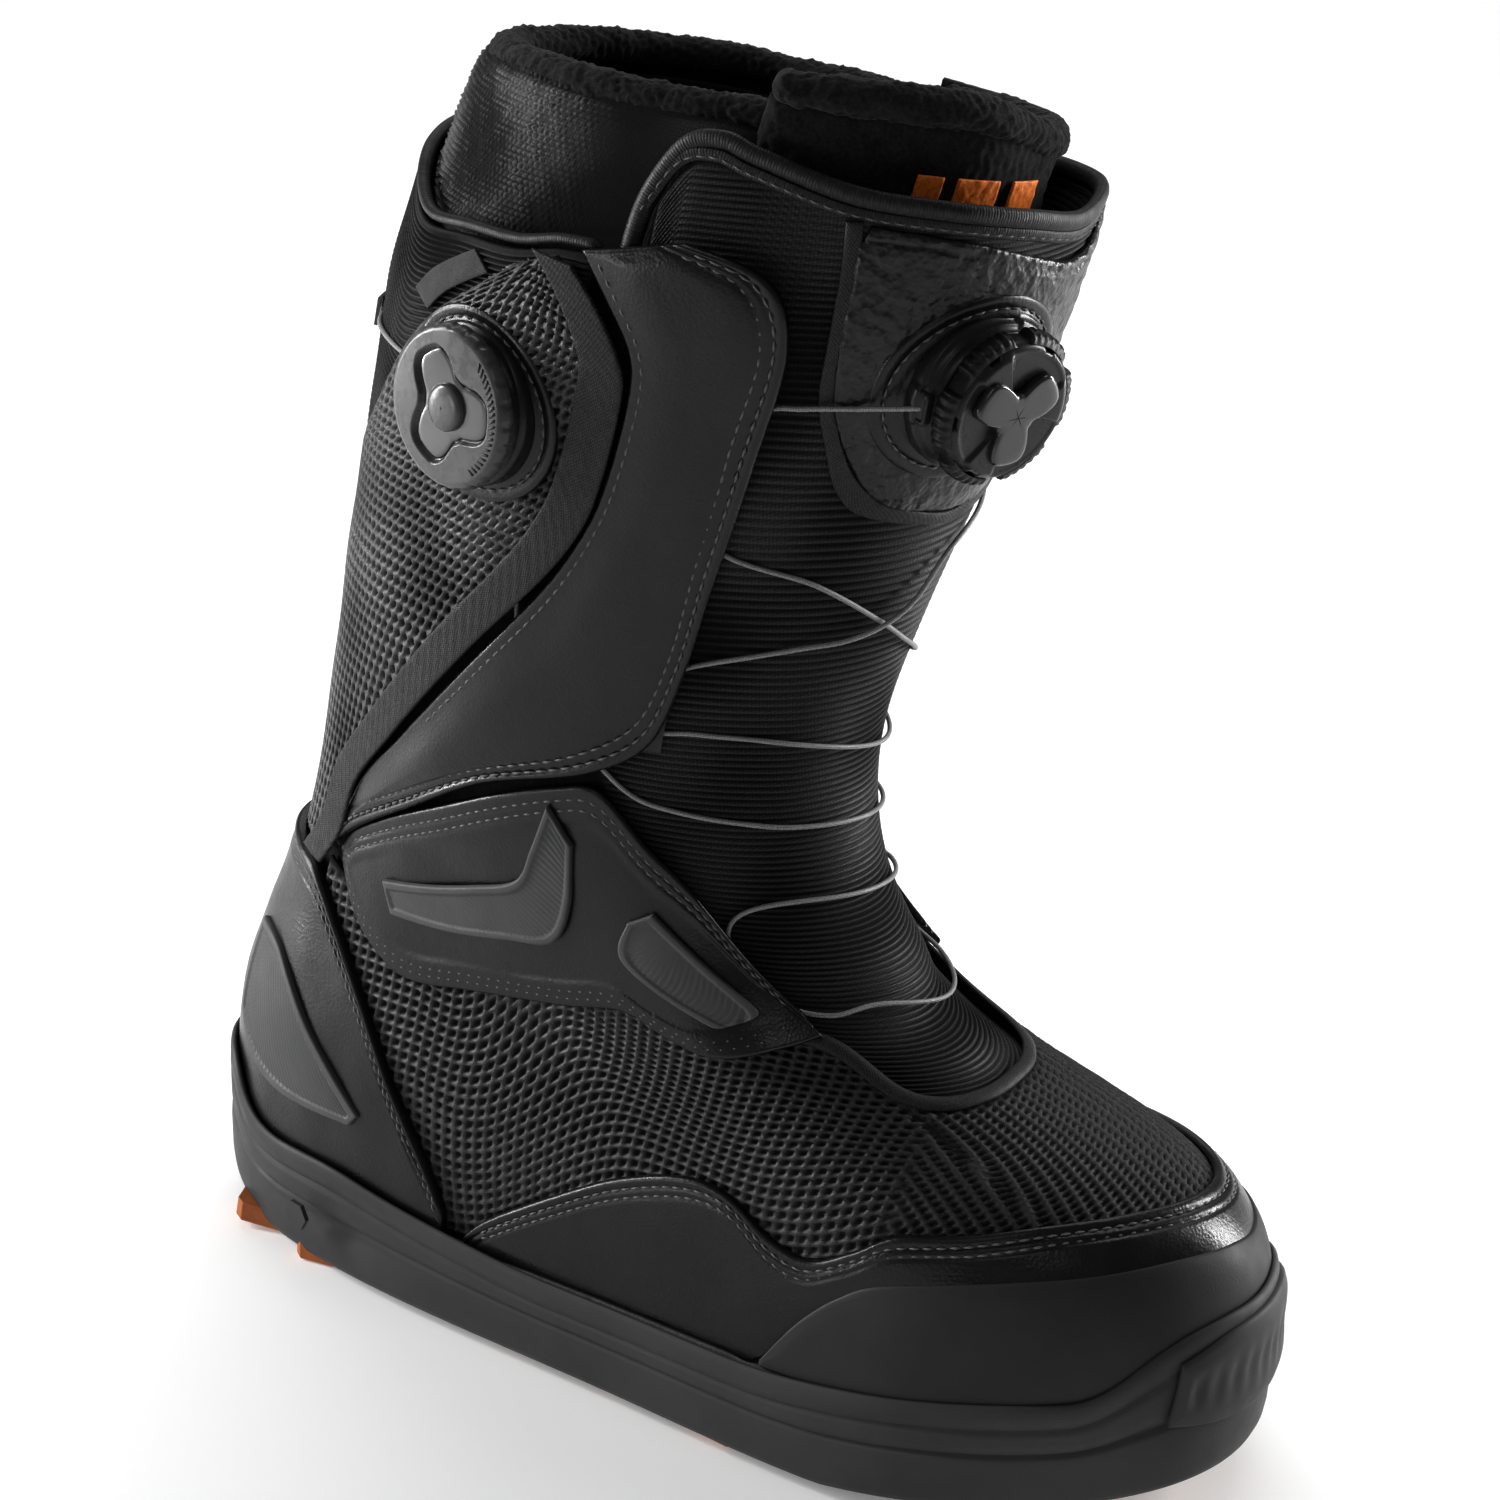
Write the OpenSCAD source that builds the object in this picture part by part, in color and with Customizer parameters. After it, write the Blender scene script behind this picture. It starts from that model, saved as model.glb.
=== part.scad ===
// Snowboard boot, right foot: two-dial lacing, removable liner, cupsole with lug inserts.
// +X points to the toe, +Y to the medial (inner) side, -Y to the lateral (outer) side, +Z up.
// The sole lugs stand on z = 0. All sizes are in millimetres.

/* [Upper] */
// thickness of the leather overlays
leather_t = 1.8; // [1.2:0.1:2.5]
// thickness of the woven and mesh base layer
base_t = 1.6; // [1:0.1:2.2]
// thickness of the moulded inlays on the overlays
inlay_t = 1.2; // [0.6:0.1:2]
// width of the edge binding tape
tape_w = 4.5; // [3:0.5:7]

/* [Sole] */
// height of the sole plate above the floor
sole_z = 6; // [4:0.5:8]
// outward reach of the cupsole wall past the upper
wall_out = 4.6; // [3.8:0.1:6]
// thickness of the foam midsole at the heel
midsole_t = 6; // [3:0.5:8]

/* [Lacing] */
// diameter of the lace
lace_d = 1.2; // [0.8:0.1:1.6]
// outer radius of the front knob
front_r = 18.7; // [17:0.1:20]
// outer radius of the side knob
side_r = 19.3; // [17:0.1:20]
// travel of a knob between pushed in and pulled out
knob_lift = 3; // [2:0.5:4]

/* [Liner] */
// thickness of the liner foam at the shaft
foam_t = 8; // [6:0.5:10]
// thickness of the fleece lining
fleece_t = 1.6; // [1:0.1:2]
// height of the rim roll
rim_r = 4.5; // [3:0.5:6]

/* [Hidden] */

// Boot skin: each row is rear x, rear z, front x, front z and half widths on either side
RINGS = [
  [-149, 25, 145, 32, [27, 40, 43, 53, 34], [27, 40, 37, 52, 44]],
  [-149, 48, 146, 54, [27, 41, 43, 52, 33], [27, 41, 38, 51, 42]],
  [-147, 68, 139, 75, [25, 39, 41, 49, 29], [25, 39, 38, 47, 36]],
  [-140, 86, 116, 85, [22, 36, 38, 46, 27], [22, 36, 36, 44, 30]],
  [-133, 104, 86, 94, [20, 33, 37, 42, 25], [20, 33, 36, 40, 26]],
  [-127, 122, 57, 108, [19, 32, 38, 39, 24], [19, 32, 38, 37, 24]],
  [-122, 142, 38, 131, [19, 33, 41, 38, 23], [19, 33, 41, 37, 24]],
  [-117, 168, 30, 162, [21, 37, 45, 39, 23], [21, 37, 45, 39, 24]],
  [-111, 200, 38, 198, [24, 42, 50, 43, 25], [24, 42, 50, 43, 26]],
  [-104, 240, 55, 242, [27, 47, 55, 48, 28], [27, 47, 55, 48, 28]],
  [-97, 282, 71, 286, [30, 51, 59, 53, 32], [30, 51, 59, 53, 31]],
  [-86, 310, 79, 316, [30, 51, 59, 53, 32], [30, 51, 59, 53, 32]]];
FR = [0, 0.067, 0.25, 0.5, 0.75, 0.933, 1];
K = 12;
M = len(RINGS);
grow = 3 / (2 + cos(360 / K));
function net(r, i) =
  let (j = i <= 6 ? i : K - i, f = FR[j])
  let (w = j == 0 || j == 6 ? 0 : i < 6 ? -r[4][j - 1] : r[5][j - 1])
  let (c = [(r[0] + r[2]) / 2, 0, (r[1] + r[3]) / 2])
  let (p = [r[0] + (r[2] - r[0]) * f, w, r[1] + (r[3] - r[1]) * f])
  c + (p - c) * grow;
CORE = [for (r = RINGS) [for (i = [0:K - 1]) net(r, i)]];
NET = concat([2 * CORE[0] - CORE[1]], CORE, [2 * CORE[M - 1] - CORE[M - 2]]);
function bw(f) = [(1 - f)^3, 3 * f^3 - 6 * f^2 + 4, -3 * f^3 + 3 * f^2 + 3 * f + 1, f^3] / 6;
function bd(f) = [-(1 - f)^2, 3 * f^2 - 4 * f, -3 * f^2 + 2 * f + 1, f^2] / 2;
function wrap(i) = (i % K + K) % K;
function row(j, a, w) = w * [for (k = [-1:2]) NET[j][wrap(a + k)]];
// point and outward normal at s around (0 rear, 0.25 lateral, 0.5 front) and t up
function frame_at(s, t) =
  let (tc = min(max(t, 0), 1), v = s * K, a = floor(v), u = tc * (M - 1))
  let (b = min(floor(u), M - 2), ws = bw(v - a), wd = bd(v - a), wt = bw(u - b), wu = bd(u - b))
  let (r = [for (k = [0:3]) row(b + k, a, ws)], d = [for (k = [0:3]) row(b + k, a, wd)])
  let (pt = wu * r * (M - 1), n = cross(wt * d, pt))
  [wt * r + (t - tc) * pt, n / norm(n)];
function at(s, t, o) = let (q = frame_at(s, t)) q[0] + o * q[1];
function off(o, s, t) = is_num(o) ? o : o(s, t);
// smooth curve through a list of points, u from 0 to 1
function curve(p, u) =
  let (n = len(p) - 1, x = u * n, i = min(floor(x), n - 1), f = x - i)
  let (a = p[max(i - 1, 0)], b = p[i], c = p[i + 1], d = p[min(i + 2, n)])
  ((2 * b) + (c - a) * f + (2 * a - 5 * b + 4 * c - d) * f^2 + (3 * b - a - 3 * c + d) * f^3) / 2;
function ruled(a, b, nu, nv) =
  [for (i = [0:nu]) let (p = curve(a, i / nu), q = curve(b, i / nu))
    [for (j = [0:nv]) p + (q - p) * j / nv]];
function flip(p) = [for (q = p) [1 - q[0], q[1]]];
function turn(g) =
  let (n = len(g) - 1, m = len(g[0]) - 1, d = g[n][m] - g[0][0], e = g[0][m] - g[n][0])
  d[0] * e[1] - d[1] * e[0];

// solid sheet between two offsets of the skin over a grid of [s, t]
module sheet(g, o0, o1) {
  n = len(g) - 1;
  m = len(g[0]) - 1;
  w = m + 1;
  k = (n + 1) * w;
  pts = concat([for (r = g) for (q = r) at(q[0], q[1], off(o0, q[0], q[1]))],
    [for (r = g) for (q = r) at(q[0], q[1], off(o1, q[0], q[1]))]);
  f = concat(
    [for (i = [0:n - 1]) for (j = [0:m - 1]) let (a = i * w + j)
      each [[a, a + w, a + w + 1], [a, a + w + 1, a + 1]]],
    [for (i = [0:n - 1]) for (j = [0:m - 1]) let (a = k + i * w + j)
      each [[a, a + w + 1, a + w], [a, a + 1, a + w + 1]]],
    [for (i = [0:n - 1]) let (a = i * w) each [[a, a + k, a + k + w], [a, a + k + w, a + w]]],
    [for (i = [0:n - 1]) let (a = i * w + m) each [[a, a + w, a + k + w], [a, a + k + w, a + k]]],
    [for (j = [0:m - 1]) let (a = j) each [[a, a + 1, a + k + 1], [a, a + k + 1, a + k]]],
    [for (j = [0:m - 1]) let (a = n * w + j) each [[a, a + k, a + k + 1], [a, a + k + 1, a + 1]]]);
  polyhedron(pts, turn(g) > 0 ? f : [for (q = f) [q[0], q[2], q[1]]]);
}

// closed solid through a list of rings, capped at both ends
module loft(r) {
  n = len(r[0]);
  m = len(r);
  function mid(q) = [for (i = [0:2]) (min([for (p = q) p[i]]) + max([for (p = q) p[i]])) / 2];
  pts = concat([for (q = r) each q], [mid(r[0]), mid(r[m - 1])]);
  e = n * m;
  l = (m - 1) * n;
  f = concat(
    [for (j = [0:m - 2]) for (i = [0:n - 1]) let (a = j * n + i, b = j * n + (i + 1) % n)
      each [[a, a + n, b + n], [a, b + n, b]]],
    [for (i = [0:n - 1]) [i, (i + 1) % n, e]],
    [for (i = [0:n - 1]) [l + (i + 1) % n, l + i, e + 1]]);
  polyhedron(pts, f);
}

// round cord through a list of points
module cord(p, d, rings, sides) {
  c = [for (i = [0:rings]) curve(p, i / rings)];
  function dir(i) = let (v = c[min(i + 1, rings)] - c[max(i - 1, 0)]) v / norm(v);
  function side(v) = let (u = cross(v, [0.31, 0.17, 0.94])) u / norm(u);
  function around(i) =
    let (v = dir(i), x = side(v), y = cross(v, x))
    [for (k = [0:sides - 1]) c[i] + d / 2 * (cos(360 * k / sides) * x + sin(360 * k / sides) * y)];
  r = [for (i = [0:rings]) around(i)];
  loft([for (i = [0:rings]) r[rings - i]]);
}

function arc_s(n) = [for (i = [0:n - 1]) let (a = 360 * i / n) i / n - 0.03 * sin(2 * a)];
function ring(ss, t, o) = [for (s = ss) at(s, t, o)];

// Sole unit
TOP = [[0, 0.09], [0.03, 0.09], [0.06, 0.08], [0.08, 0.04], [0.1, 0.028], [0.14, 0.034],
  [0.18, 0.017], [0.22, 0.002], [0.3, 0], [0.34, 0.016], [0.37, 0.03], [0.41, 0.045],
  [0.425, 0.08], [0.445, 0.105], [0.47, 0.115], [0.5, 0.115]];
function sole_top(s) = lookup(min(s, 1 - s), TOP);
function plane_z(x) = 25 + (x + 149) * 7 / 294;
function floor_z(x) = sole_z + (x < -115 ? 0.0065 * (x + 115)^2 : 0)
  + (x > 60 ? 0.13 * (x - 60) + 0.0004 * (x - 60)^2 : 0);
SS = arc_s(48);
function base_ring(o) = ring(SS, 0, o);
function drop(r, d) = [for (p = r) [p[0], p[1], plane_z(p[0]) - d]];
function low(r, d) = [for (p = r) [p[0], p[1], floor_z(p[0]) + d]];
function edge(d, o) = [for (s = SS) let (t = sole_top(s) - d)
  at(s, max(t, 0), o) + [0, 0, min(t, 0) * 300]];
function plug(r, k) = [for (p = r) [p[0] * k, p[1] * k * 0.62, p[2]]];
BOTTOM = [0.03, 0.35, 0.6, 0.85];

module outsole() {
  w = wall_out;
  color([0.16, 0.16, 0.17])
  loft(concat([for (k = BOTTOM) low(plug(base_ring(0), k), 0)],
    [low(base_ring(-1), 0), low(base_ring(2.6), 2.5),
    [for (p = base_ring(w)) [p[0], p[1], floor_z(p[0]) + 8]],
    [for (p = base_ring(w - 1.2)) [p[0], p[1], (floor_z(p[0]) + 8 + plane_z(p[0]) - 4) / 2]],
    edge(0.012, w), edge(0, w - 0.5), edge(0, 3.6), drop(base_ring(3.6), 2.5),
    drop(base_ring(-3), 2.5), drop(base_ring(-3.6), 2.7 + midsole_t)]));
}
module toe_bumper() {
  g = ruled([[0.44, 0.014], [0.47, 0.006], [0.5, 0.004], [0.53, 0.006], [0.56, 0.014]],
    [[0.444, 0.08], [0.47, 0.1], [0.5, 0.104], [0.53, 0.1], [0.556, 0.08]], 12, 4);
  color([0.13, 0.13, 0.14]) sheet(g, wall_out + 0.4, wall_out + 2);
}
// x, y, length, width, turn of each lug
LUGS_O = [[-127, 26, 17, 12, -18], [-104, 31, 15, 13, -8], [-34, 33, 16, 13, 4], [-4, 36, 15, 13, 6],
  [28, 42, 16, 14, 8], [118, 22, 22, 13, -28], [135, 0, 12, 22, 0]];
LUGS_B = [[-66, 32, 18, 12, 2], [55, 43, 16, 14, 2], [84, 38, 18, 13, -12], [-116, 0, 14, 20, 0],
  [-88, 0, 12, 24, 0], [-60, 0, 12, 16, 0], [-30, 0, 14, 16, 0], [0, 0, 14, 24, 0],
  [28, 0, 14, 28, 0], [56, 0, 14, 30, 0], [82, 0, 14, 28, 0], [106, 0, 12, 22, 0]];
module lug(l, w, h) {
  linear_extrude(h - 1.2)
    polygon([[-l / 2, 2 - w / 2], [2 - l / 2, -w / 2], [l / 2 - 3, -w / 2], [l / 2, 0],
      [l / 2 - 3, w / 2], [2 - l / 2, w / 2], [-l / 2, w / 2 - 2]]);
}
module lugs(list) {
  for (q = list) {
    for (side = q[1] == 0 ? [1] : [-1, 1]) {
      tilt = atan((floor_z(q[0] + 5) - floor_z(q[0] - 5)) / 10);
      translate([q[0], side * q[1], floor_z(q[0]) - 0.35]) rotate([0, -tilt, 0])
        rotate([0, 0, side * q[4]]) translate([0, 0, 0.35 - sole_z]) lug(q[2], q[3], sole_z + 0.9);
    }
  }
}
module sole_lugs_orange() {
  color([0.72, 0.38, 0.2]) lugs(LUGS_O);
}
module sole_lugs_black() {
  color([0.1, 0.1, 0.11]) lugs(LUGS_B);
}
module sole_side_plug() {
  color([0.25, 0.25, 0.26]) for (side = [-1, 1])
    translate([-104, side * 44.6, 19]) rotate([90, 0, side * 14 + 90 + side * 90])
      cylinder(r = 4.2, h = 1.2, $fn = 6);
}
module midsole() {
  color([0.3, 0.3, 0.3])
  loft([drop(base_ring(-4.1), 2.4 + midsole_t), drop(base_ring(-3.5), 4.3)]);
}
module shank() {
  a = atan2(7, 294);
  color([0.55, 0.56, 0.58]) translate([-20, 0, plane_z(-20) - 3.95]) rotate([0, -a, 0])
    linear_extrude(1.2) polygon([[-80, -14], [70, -20], [80, -12], [80, 12], [70, 20], [-80, 14]]);
}
module lasting_board() {
  color([0.45, 0.38, 0.28]) loft([drop(base_ring(2.2), 2.2), drop(base_ring(2.2), 0.5)]);
}

// Upper
THROAT = [[0.06, 0.415], [0.1, 0.42], [0.14, 0.4], [0.17, 0.385], [0.2, 0.39], [0.25, 0.42],
  [0.3, 0.45], [0.35, 0.46], [0.397, 0.44], [0.41, 0.39], [0.43, 0.379], [0.46, 0.382],
  [0.5, 0.386], [0.54, 0.382], [0.57, 0.379], [0.59, 0.39], [0.603, 0.44], [0.65, 0.46],
  [0.7, 0.45], [0.75, 0.42], [0.8, 0.39], [0.83, 0.385], [0.86, 0.4], [0.9, 0.42], [0.94, 0.415]];
module upper_mesh() {
  low = [for (q = THROAT) [q[0], 0]];
  color([0.09, 0.09, 0.1]) sheet(ruled(low, THROAT, 40, 7), -base_t, 0);
}
GUARD_TOP = [[0.196, 0.014], [0.205, 0.045], [0.229, 0.105], [0.249, 0.149], [0.271, 0.181],
  [0.286, 0.181], [0.299, 0.145], [0.312, 0.135], [0.326, 0.157], [0.345, 0.192], [0.37, 0.207],
  [0.407, 0.227], [0.45, 0.234], [0.49, 0.228], [0.52, 0.218], [0.56, 0.205], [0.6, 0.2],
  [0.64, 0.192], [0.665, 0.165], [0.685, 0.135], [0.7, 0.145], [0.714, 0.181], [0.729, 0.181],
  [0.751, 0.149], [0.771, 0.105], [0.795, 0.045], [0.804, 0.014]];
RAND_TOP = [[0.298, 0.004], [0.309, 0.061], [0.322, 0.103], [0.338, 0.13], [0.375, 0.153],
  [0.413, 0.167], [0.452, 0.174], [0.49, 0.168], [0.52, 0.157], [0.56, 0.15], [0.6, 0.144],
  [0.64, 0.136], [0.662, 0.122], [0.678, 0.1], [0.691, 0.061], [0.702, 0.004]];
GUARD_LOW = [[0.2955, 0], [0.3052, 0.068], [0.319, 0.112], [0.3365, 0.14], [0.374, 0.161],
  [0.4125, 0.175], [0.452, 0.182], [0.49, 0.176], [0.52, 0.165], [0.56, 0.158], [0.6, 0.152],
  [0.641, 0.144], [0.6655, 0.131], [0.683, 0.104], [0.6955, 0.062], [0.706, 0]];
module mudguard() {
  low = [for (i = [0:26]) i < 6 || i > 21 ? [GUARD_TOP[i][0], 0] : GUARD_LOW[i - 6]];
  color([0.08, 0.08, 0.085]) sheet(ruled(low, GUARD_TOP, 52, 3), 0.6, 0.6 + leather_t);
}
module toe_rand() {
  low = [for (q = RAND_TOP) [q[0], 0]];
  color([0.12, 0.12, 0.125]) sheet(ruled(low, RAND_TOP, 30, 3), 0.6, 0.6 + leather_t);
}
COUNTER = [[-0.188, 0.03], [-0.18, 0.085], [-0.166, 0.156], [-0.147, 0.257], [-0.126, 0.336],
  [-0.1, 0.395], [-0.07, 0.41], [-0.035, 0.42], [0, 0.424], [0.035, 0.42], [0.07, 0.41], [0.1, 0.395],
  [0.126, 0.336], [0.147, 0.257], [0.166, 0.156], [0.18, 0.085], [0.188, 0.03]];
module heel_counter() {
  low = [for (q = COUNTER) [q[0], 0]];
  color([0.08, 0.08, 0.085]) sheet(ruled(low, COUNTER, 24, 5), 0.6, 0.6 + leather_t);
}
module heel_inlays() {
  a = [[0.063, 0.142], [0.086, 0.1], [0.111, 0.086], [0.149, 0.092]];
  b = [[0.055, 0.276], [0.089, 0.26], [0.127, 0.174], [0.153, 0.108]];
  o = 0.9 + leather_t;
  color([0.2, 0.2, 0.2]) {
    sheet(ruled(a, b, 6, 2), o, o + inlay_t);
    sheet(ruled(flip(a), flip(b), 6, 2), o, o + inlay_t);
  }
}
module backstay() {
  g = ruled([[-0.034, 0.436], [-0.034, 0.6], [-0.034, 0.79]],
    [[0.034, 0.436], [0.034, 0.6], [0.034, 0.79]], 12, 4);
  color([0.07, 0.07, 0.075]) sheet(g, -1.4, 0.4);
}
COLLAR = [[-0.245, 0.962], [-0.224, 0.962], [-0.2, 0.955], [-0.165, 0.954], [-0.126, 0.95],
  [-0.095, 0.962], [-0.06, 0.98], [0, 0.99], [0.06, 0.98], [0.095, 0.962], [0.126, 0.95],
  [0.165, 0.954], [0.2, 0.955], [0.224, 0.962], [0.245, 0.962]];
module rear_collar() {
  low = [for (q = COLLAR) [q[0], 0.8]];
  color([0.1, 0.1, 0.105]) sheet(ruled(low, COLLAR, 30, 3), -base_t, 0);
}
module collar_binding() {
  color([0.08, 0.08, 0.08]) cord([for (q = COLLAR) at(q[0], q[1] + 0.0075, -0.9)], 3, 40, 6);
}
module shell_lining() {
  a = [for (s = [-0.33:0.06:0.33]) [s, 0.02]];
  b = [for (s = [-0.33:0.06:0.33]) [s, 0.92]];
  color([0.13, 0.13, 0.13]) sheet(ruled(a, b, 24, 9), -3.8, -2.4);
}
MESH_A = [[0.04, 0.43], [0.04, 0.47], [0.04, 0.53], [0.042, 0.6], [0.05, 0.68], [0.065, 0.75],
  [0.09, 0.8], [0.12, 0.835], [0.145, 0.875], [0.165, 0.902], [0.185, 0.922], [0.21, 0.95]];
MESH_B = [[0.098, 0.425], [0.117, 0.488], [0.133, 0.562], [0.17, 0.635], [0.217, 0.722], [0.25, 0.778],
  [0.264, 0.811], [0.268, 0.84], [0.268, 0.879], [0.264, 0.902], [0.246, 0.935], [0.228, 0.96]];
function ramp(x, a, b) = let (u = min(max((x - a) / (b - a), 0), 1)) u * u * (3 - 2 * u);
function rise(s, a, b) = ramp(min(s, 1 - s), a, b);
function mesh_in(s, t) = -1.4 + 3.2 * rise(s, 0.04, 0.15);
function mesh_out(s, t) = 0.4 + 3.2 * rise(s, 0.04, 0.15);
module side_mesh_lateral() {
  color([0.1, 0.1, 0.11]) difference() {
    sheet(ruled(MESH_A, MESH_B, 20, 7), function(s, t) mesh_in(s, t), function(s, t) mesh_out(s, t));
    on_side() for (y = [-11.3, 11.3]) translate([0, y, -7]) cylinder(r = 2.9, h = 9, $fn = 12);
  }
}
module side_mesh_medial() {
  color([0.1, 0.1, 0.11]) sheet(ruled(flip(MESH_A), flip(MESH_B), 20, 7),
    function(s, t) mesh_in(s, t), function(s, t) mesh_out(s, t));
}
module side_binding(m) {
  a = [for (q = MESH_B) q + [-0.011, 0.003]];
  b = [for (q = MESH_B) q + [0.011, -0.003]];
  color([0.14, 0.14, 0.15])
    sheet(m ? ruled(flip(a), flip(b), 24, 1) : ruled(a, b, 24, 1), 4.3, 5.2);
}
module side_binding_lateral() {
  side_binding(false);
}
module side_binding_medial() {
  side_binding(true);
}
FLAP_A = [[0.113, 0.466], [0.129, 0.515], [0.15, 0.572], [0.185, 0.632], [0.23, 0.712], [0.262, 0.77],
  [0.276, 0.81], [0.28, 0.84], [0.28, 0.882], [0.275, 0.908], [0.258, 0.938], [0.24, 0.968]];
FLAP_B = [[0.119, 0.462], [0.144, 0.507], [0.185, 0.56], [0.243, 0.622], [0.305, 0.655], [0.334, 0.683],
  [0.343, 0.729], [0.344, 0.785], [0.345, 0.85], [0.344, 0.92], [0.325, 0.965], [0.285, 0.984]];
module flap(m) {
  color([0.07, 0.07, 0.075])
    sheet(m ? ruled(flip(FLAP_A), flip(FLAP_B), 20, 4) : ruled(FLAP_A, FLAP_B, 20, 4),
      2.3, 2.3 + leather_t);
}
module lateral_flap() {
  flap(false);
}
module medial_flap() {
  flap(true);
}
ANKLE_A = [[0.124, 0.44], [0.136, 0.378], [0.154, 0.335], [0.172, 0.32], [0.205, 0.348],
  [0.253, 0.39], [0.289, 0.422], [0.307, 0.405], [0.325, 0.398], [0.364, 0.427], [0.395, 0.448]];
ANKLE_B = [[0.122, 0.46], [0.133, 0.49], [0.15, 0.515], [0.175, 0.545], [0.205, 0.575],
  [0.245, 0.61], [0.285, 0.635], [0.309, 0.64], [0.335, 0.605], [0.363, 0.562], [0.393, 0.472]];
function ankle_in(s, t) = 0.5 + 1.6 * rise(s, 0.27, 0.34);
module ankle(m) {
  color([0.07, 0.07, 0.075])
    sheet(m ? ruled(flip(ANKLE_A), flip(ANKLE_B), 20, 4) : ruled(ANKLE_A, ANKLE_B, 20, 4),
      function(s, t) ankle_in(s, t), function(s, t) ankle_in(s, t) + 1.5);
}
module ankle_panel_lateral() {
  ankle(false);
}
module ankle_panel_medial() {
  ankle(true);
}
CHEV_A = [[0.166, 0.412], [0.2, 0.43], [0.24, 0.462], [0.268, 0.484], [0.286, 0.535], [0.294, 0.592]];
CHEV_B = [[0.162, 0.455], [0.19, 0.478], [0.225, 0.51], [0.256, 0.54], [0.27, 0.58], [0.281, 0.62]];
WEDGE_A = [[0.318, 0.536], [0.307, 0.493], [0.335, 0.446], [0.343, 0.443]];
WEDGE_B = [[0.334, 0.55], [0.35, 0.518], [0.369, 0.474], [0.363, 0.459]];
module inlays(m) {
  color([0.2, 0.2, 0.2]) for (q = [[CHEV_A, CHEV_B, 10], [WEDGE_A, WEDGE_B, 6]])
    sheet(m ? ruled(flip(q[0]), flip(q[1]), q[2], 2) : ruled(q[0], q[1], q[2], 2),
      function(s, t) ankle_in(s, t) + 1.9, function(s, t) ankle_in(s, t) + 1.9 + inlay_t);
}
module ankle_inlays_lateral() {
  inlays(false);
}
module ankle_inlays_medial() {
  inlays(true);
}
module side_label() {
  g = ruled([[0.152, 0.899], [0.165, 0.915], [0.19, 0.935]],
    [[0.136, 0.908], [0.15, 0.926], [0.177, 0.948]], 4, 2);
  color([0.16, 0.16, 0.17]) sheet(g, 0.5, 1.1);
}

// Tongue
function wing(s, t) = -7 * min(max((t - 0.93) / 0.12, 0), 1) * rise(s, 0.42, 0.3);
TONGUE_TOP = [[0.26, 1.005], [0.272, 1.037], [0.3, 1.031], [0.35, 1.011], [0.4, 1.002], [0.45, 0.991],
  [0.5, 0.98], [0.55, 0.985], [0.6, 0.982], [0.65, 0.978], [0.7, 0.965], [0.728, 0.95], [0.74, 0.915]];
module tongue() {
  a = [for (q = TONGUE_TOP) [0.5 + (q[0] - 0.5) * 0.36, 0.36]];
  c = [for (q = TONGUE_TOP) [0.5 + (q[0] - 0.5) * 0.8, 0.62]];
  g = ruled(a, c, 20, 5);
  h = ruled(c, TONGUE_TOP, 20, 8);
  all = [for (i = [0:20]) concat(g[i], [for (j = [1:8]) h[i][j]])];
  color([0.09, 0.09, 0.095]) sheet(all, function(s, t) wing(s, t) - 1.8 - 2.3 * ramp(t, 0.5, 0.455),
    function(s, t) wing(s, t) - 2.3 * ramp(t, 0.5, 0.455));
}
module tongue_binding() {
  h = [[0.257, 0.96], [0.2545, 1.005], [0.263, 1.042], [0.28, 1.048], [0.3, 1.0385], [0.35, 1.0185],
    [0.4, 1.0095], [0.45, 0.9985]];
  m = [[0.55, 0.992], [0.6, 0.989], [0.65, 0.985], [0.7, 0.972], [0.72, 0.965], [0.737, 0.955],
    [0.7455, 0.915], [0.743, 0.865]];
  e = concat(h, [[0.5, 0.987]], m);
  q = [for (i = [0:64]) curve(e, i / 64)];
  color([0.1, 0.1, 0.1]) cord([for (p = q) at(p[0], p[1], wing(p[0], p[1]) - 0.9)], 3, 48, 6);
}
PATCH_A = [[0.36, 1.005], [0.365, 0.97], [0.37, 0.92], [0.374, 0.89], [0.384, 0.865], [0.4, 0.843],
  [0.425, 0.828], [0.46, 0.82]];
PATCH_B = [[0.56, 0.985], [0.575, 0.96], [0.58, 0.92], [0.58, 0.89], [0.572, 0.865], [0.555, 0.843],
  [0.53, 0.828], [0.495, 0.82]];
PATCH_LOW = [[0.3605, 0.985], [0.3665, 0.92], [0.378, 0.875], [0.41, 0.835], [0.455, 0.821], [0.5, 0.82],
  [0.536, 0.833], [0.564, 0.86], [0.578, 0.905], [0.575, 0.95]];
PATCH_TOP = [[0.3635, 1.0005], [0.374, 0.9985], [0.39, 0.9955], [0.42, 0.9875], [0.455, 0.9745],
  [0.49, 0.963], [0.515, 0.9625], [0.535, 0.969], [0.552, 0.978], [0.565, 0.984]];
module tongue_patch() {
  color([0.08, 0.08, 0.085]) difference() {
    sheet(ruled(PATCH_LOW, PATCH_TOP, 14, 8), function(s, t) wing(s, t) + 0.5,
      function(s, t) wing(s, t) + 1.7);
    on_front() translate([0, 0, -0.03]) cylinder(r = 17.05, h = 8, $fn = 64);
  }
}
module tongue_seam_tape() {
  p = concat([for (i = [0:6]) PATCH_A[i]], [[0.478, 0.817]], [for (i = [0:6]) PATCH_B[6 - i]]);
  a = [for (q = p) [q[0] + (q[0] < 0.47 ? -0.012 : 0.012), q[1] - (q[1] < 0.85 ? 0.01 : 0)]];
  color([0.15, 0.15, 0.16]) sheet(ruled(a, [for (q = p) q + [q[0] < 0.47 ? -0.005 : 0.005,
    q[1] < 0.85 ? -0.005 : 0]], 28, 1), function(s, t) wing(s, t) + 0.5, function(s, t) wing(s, t) + 1.7);
}

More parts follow.
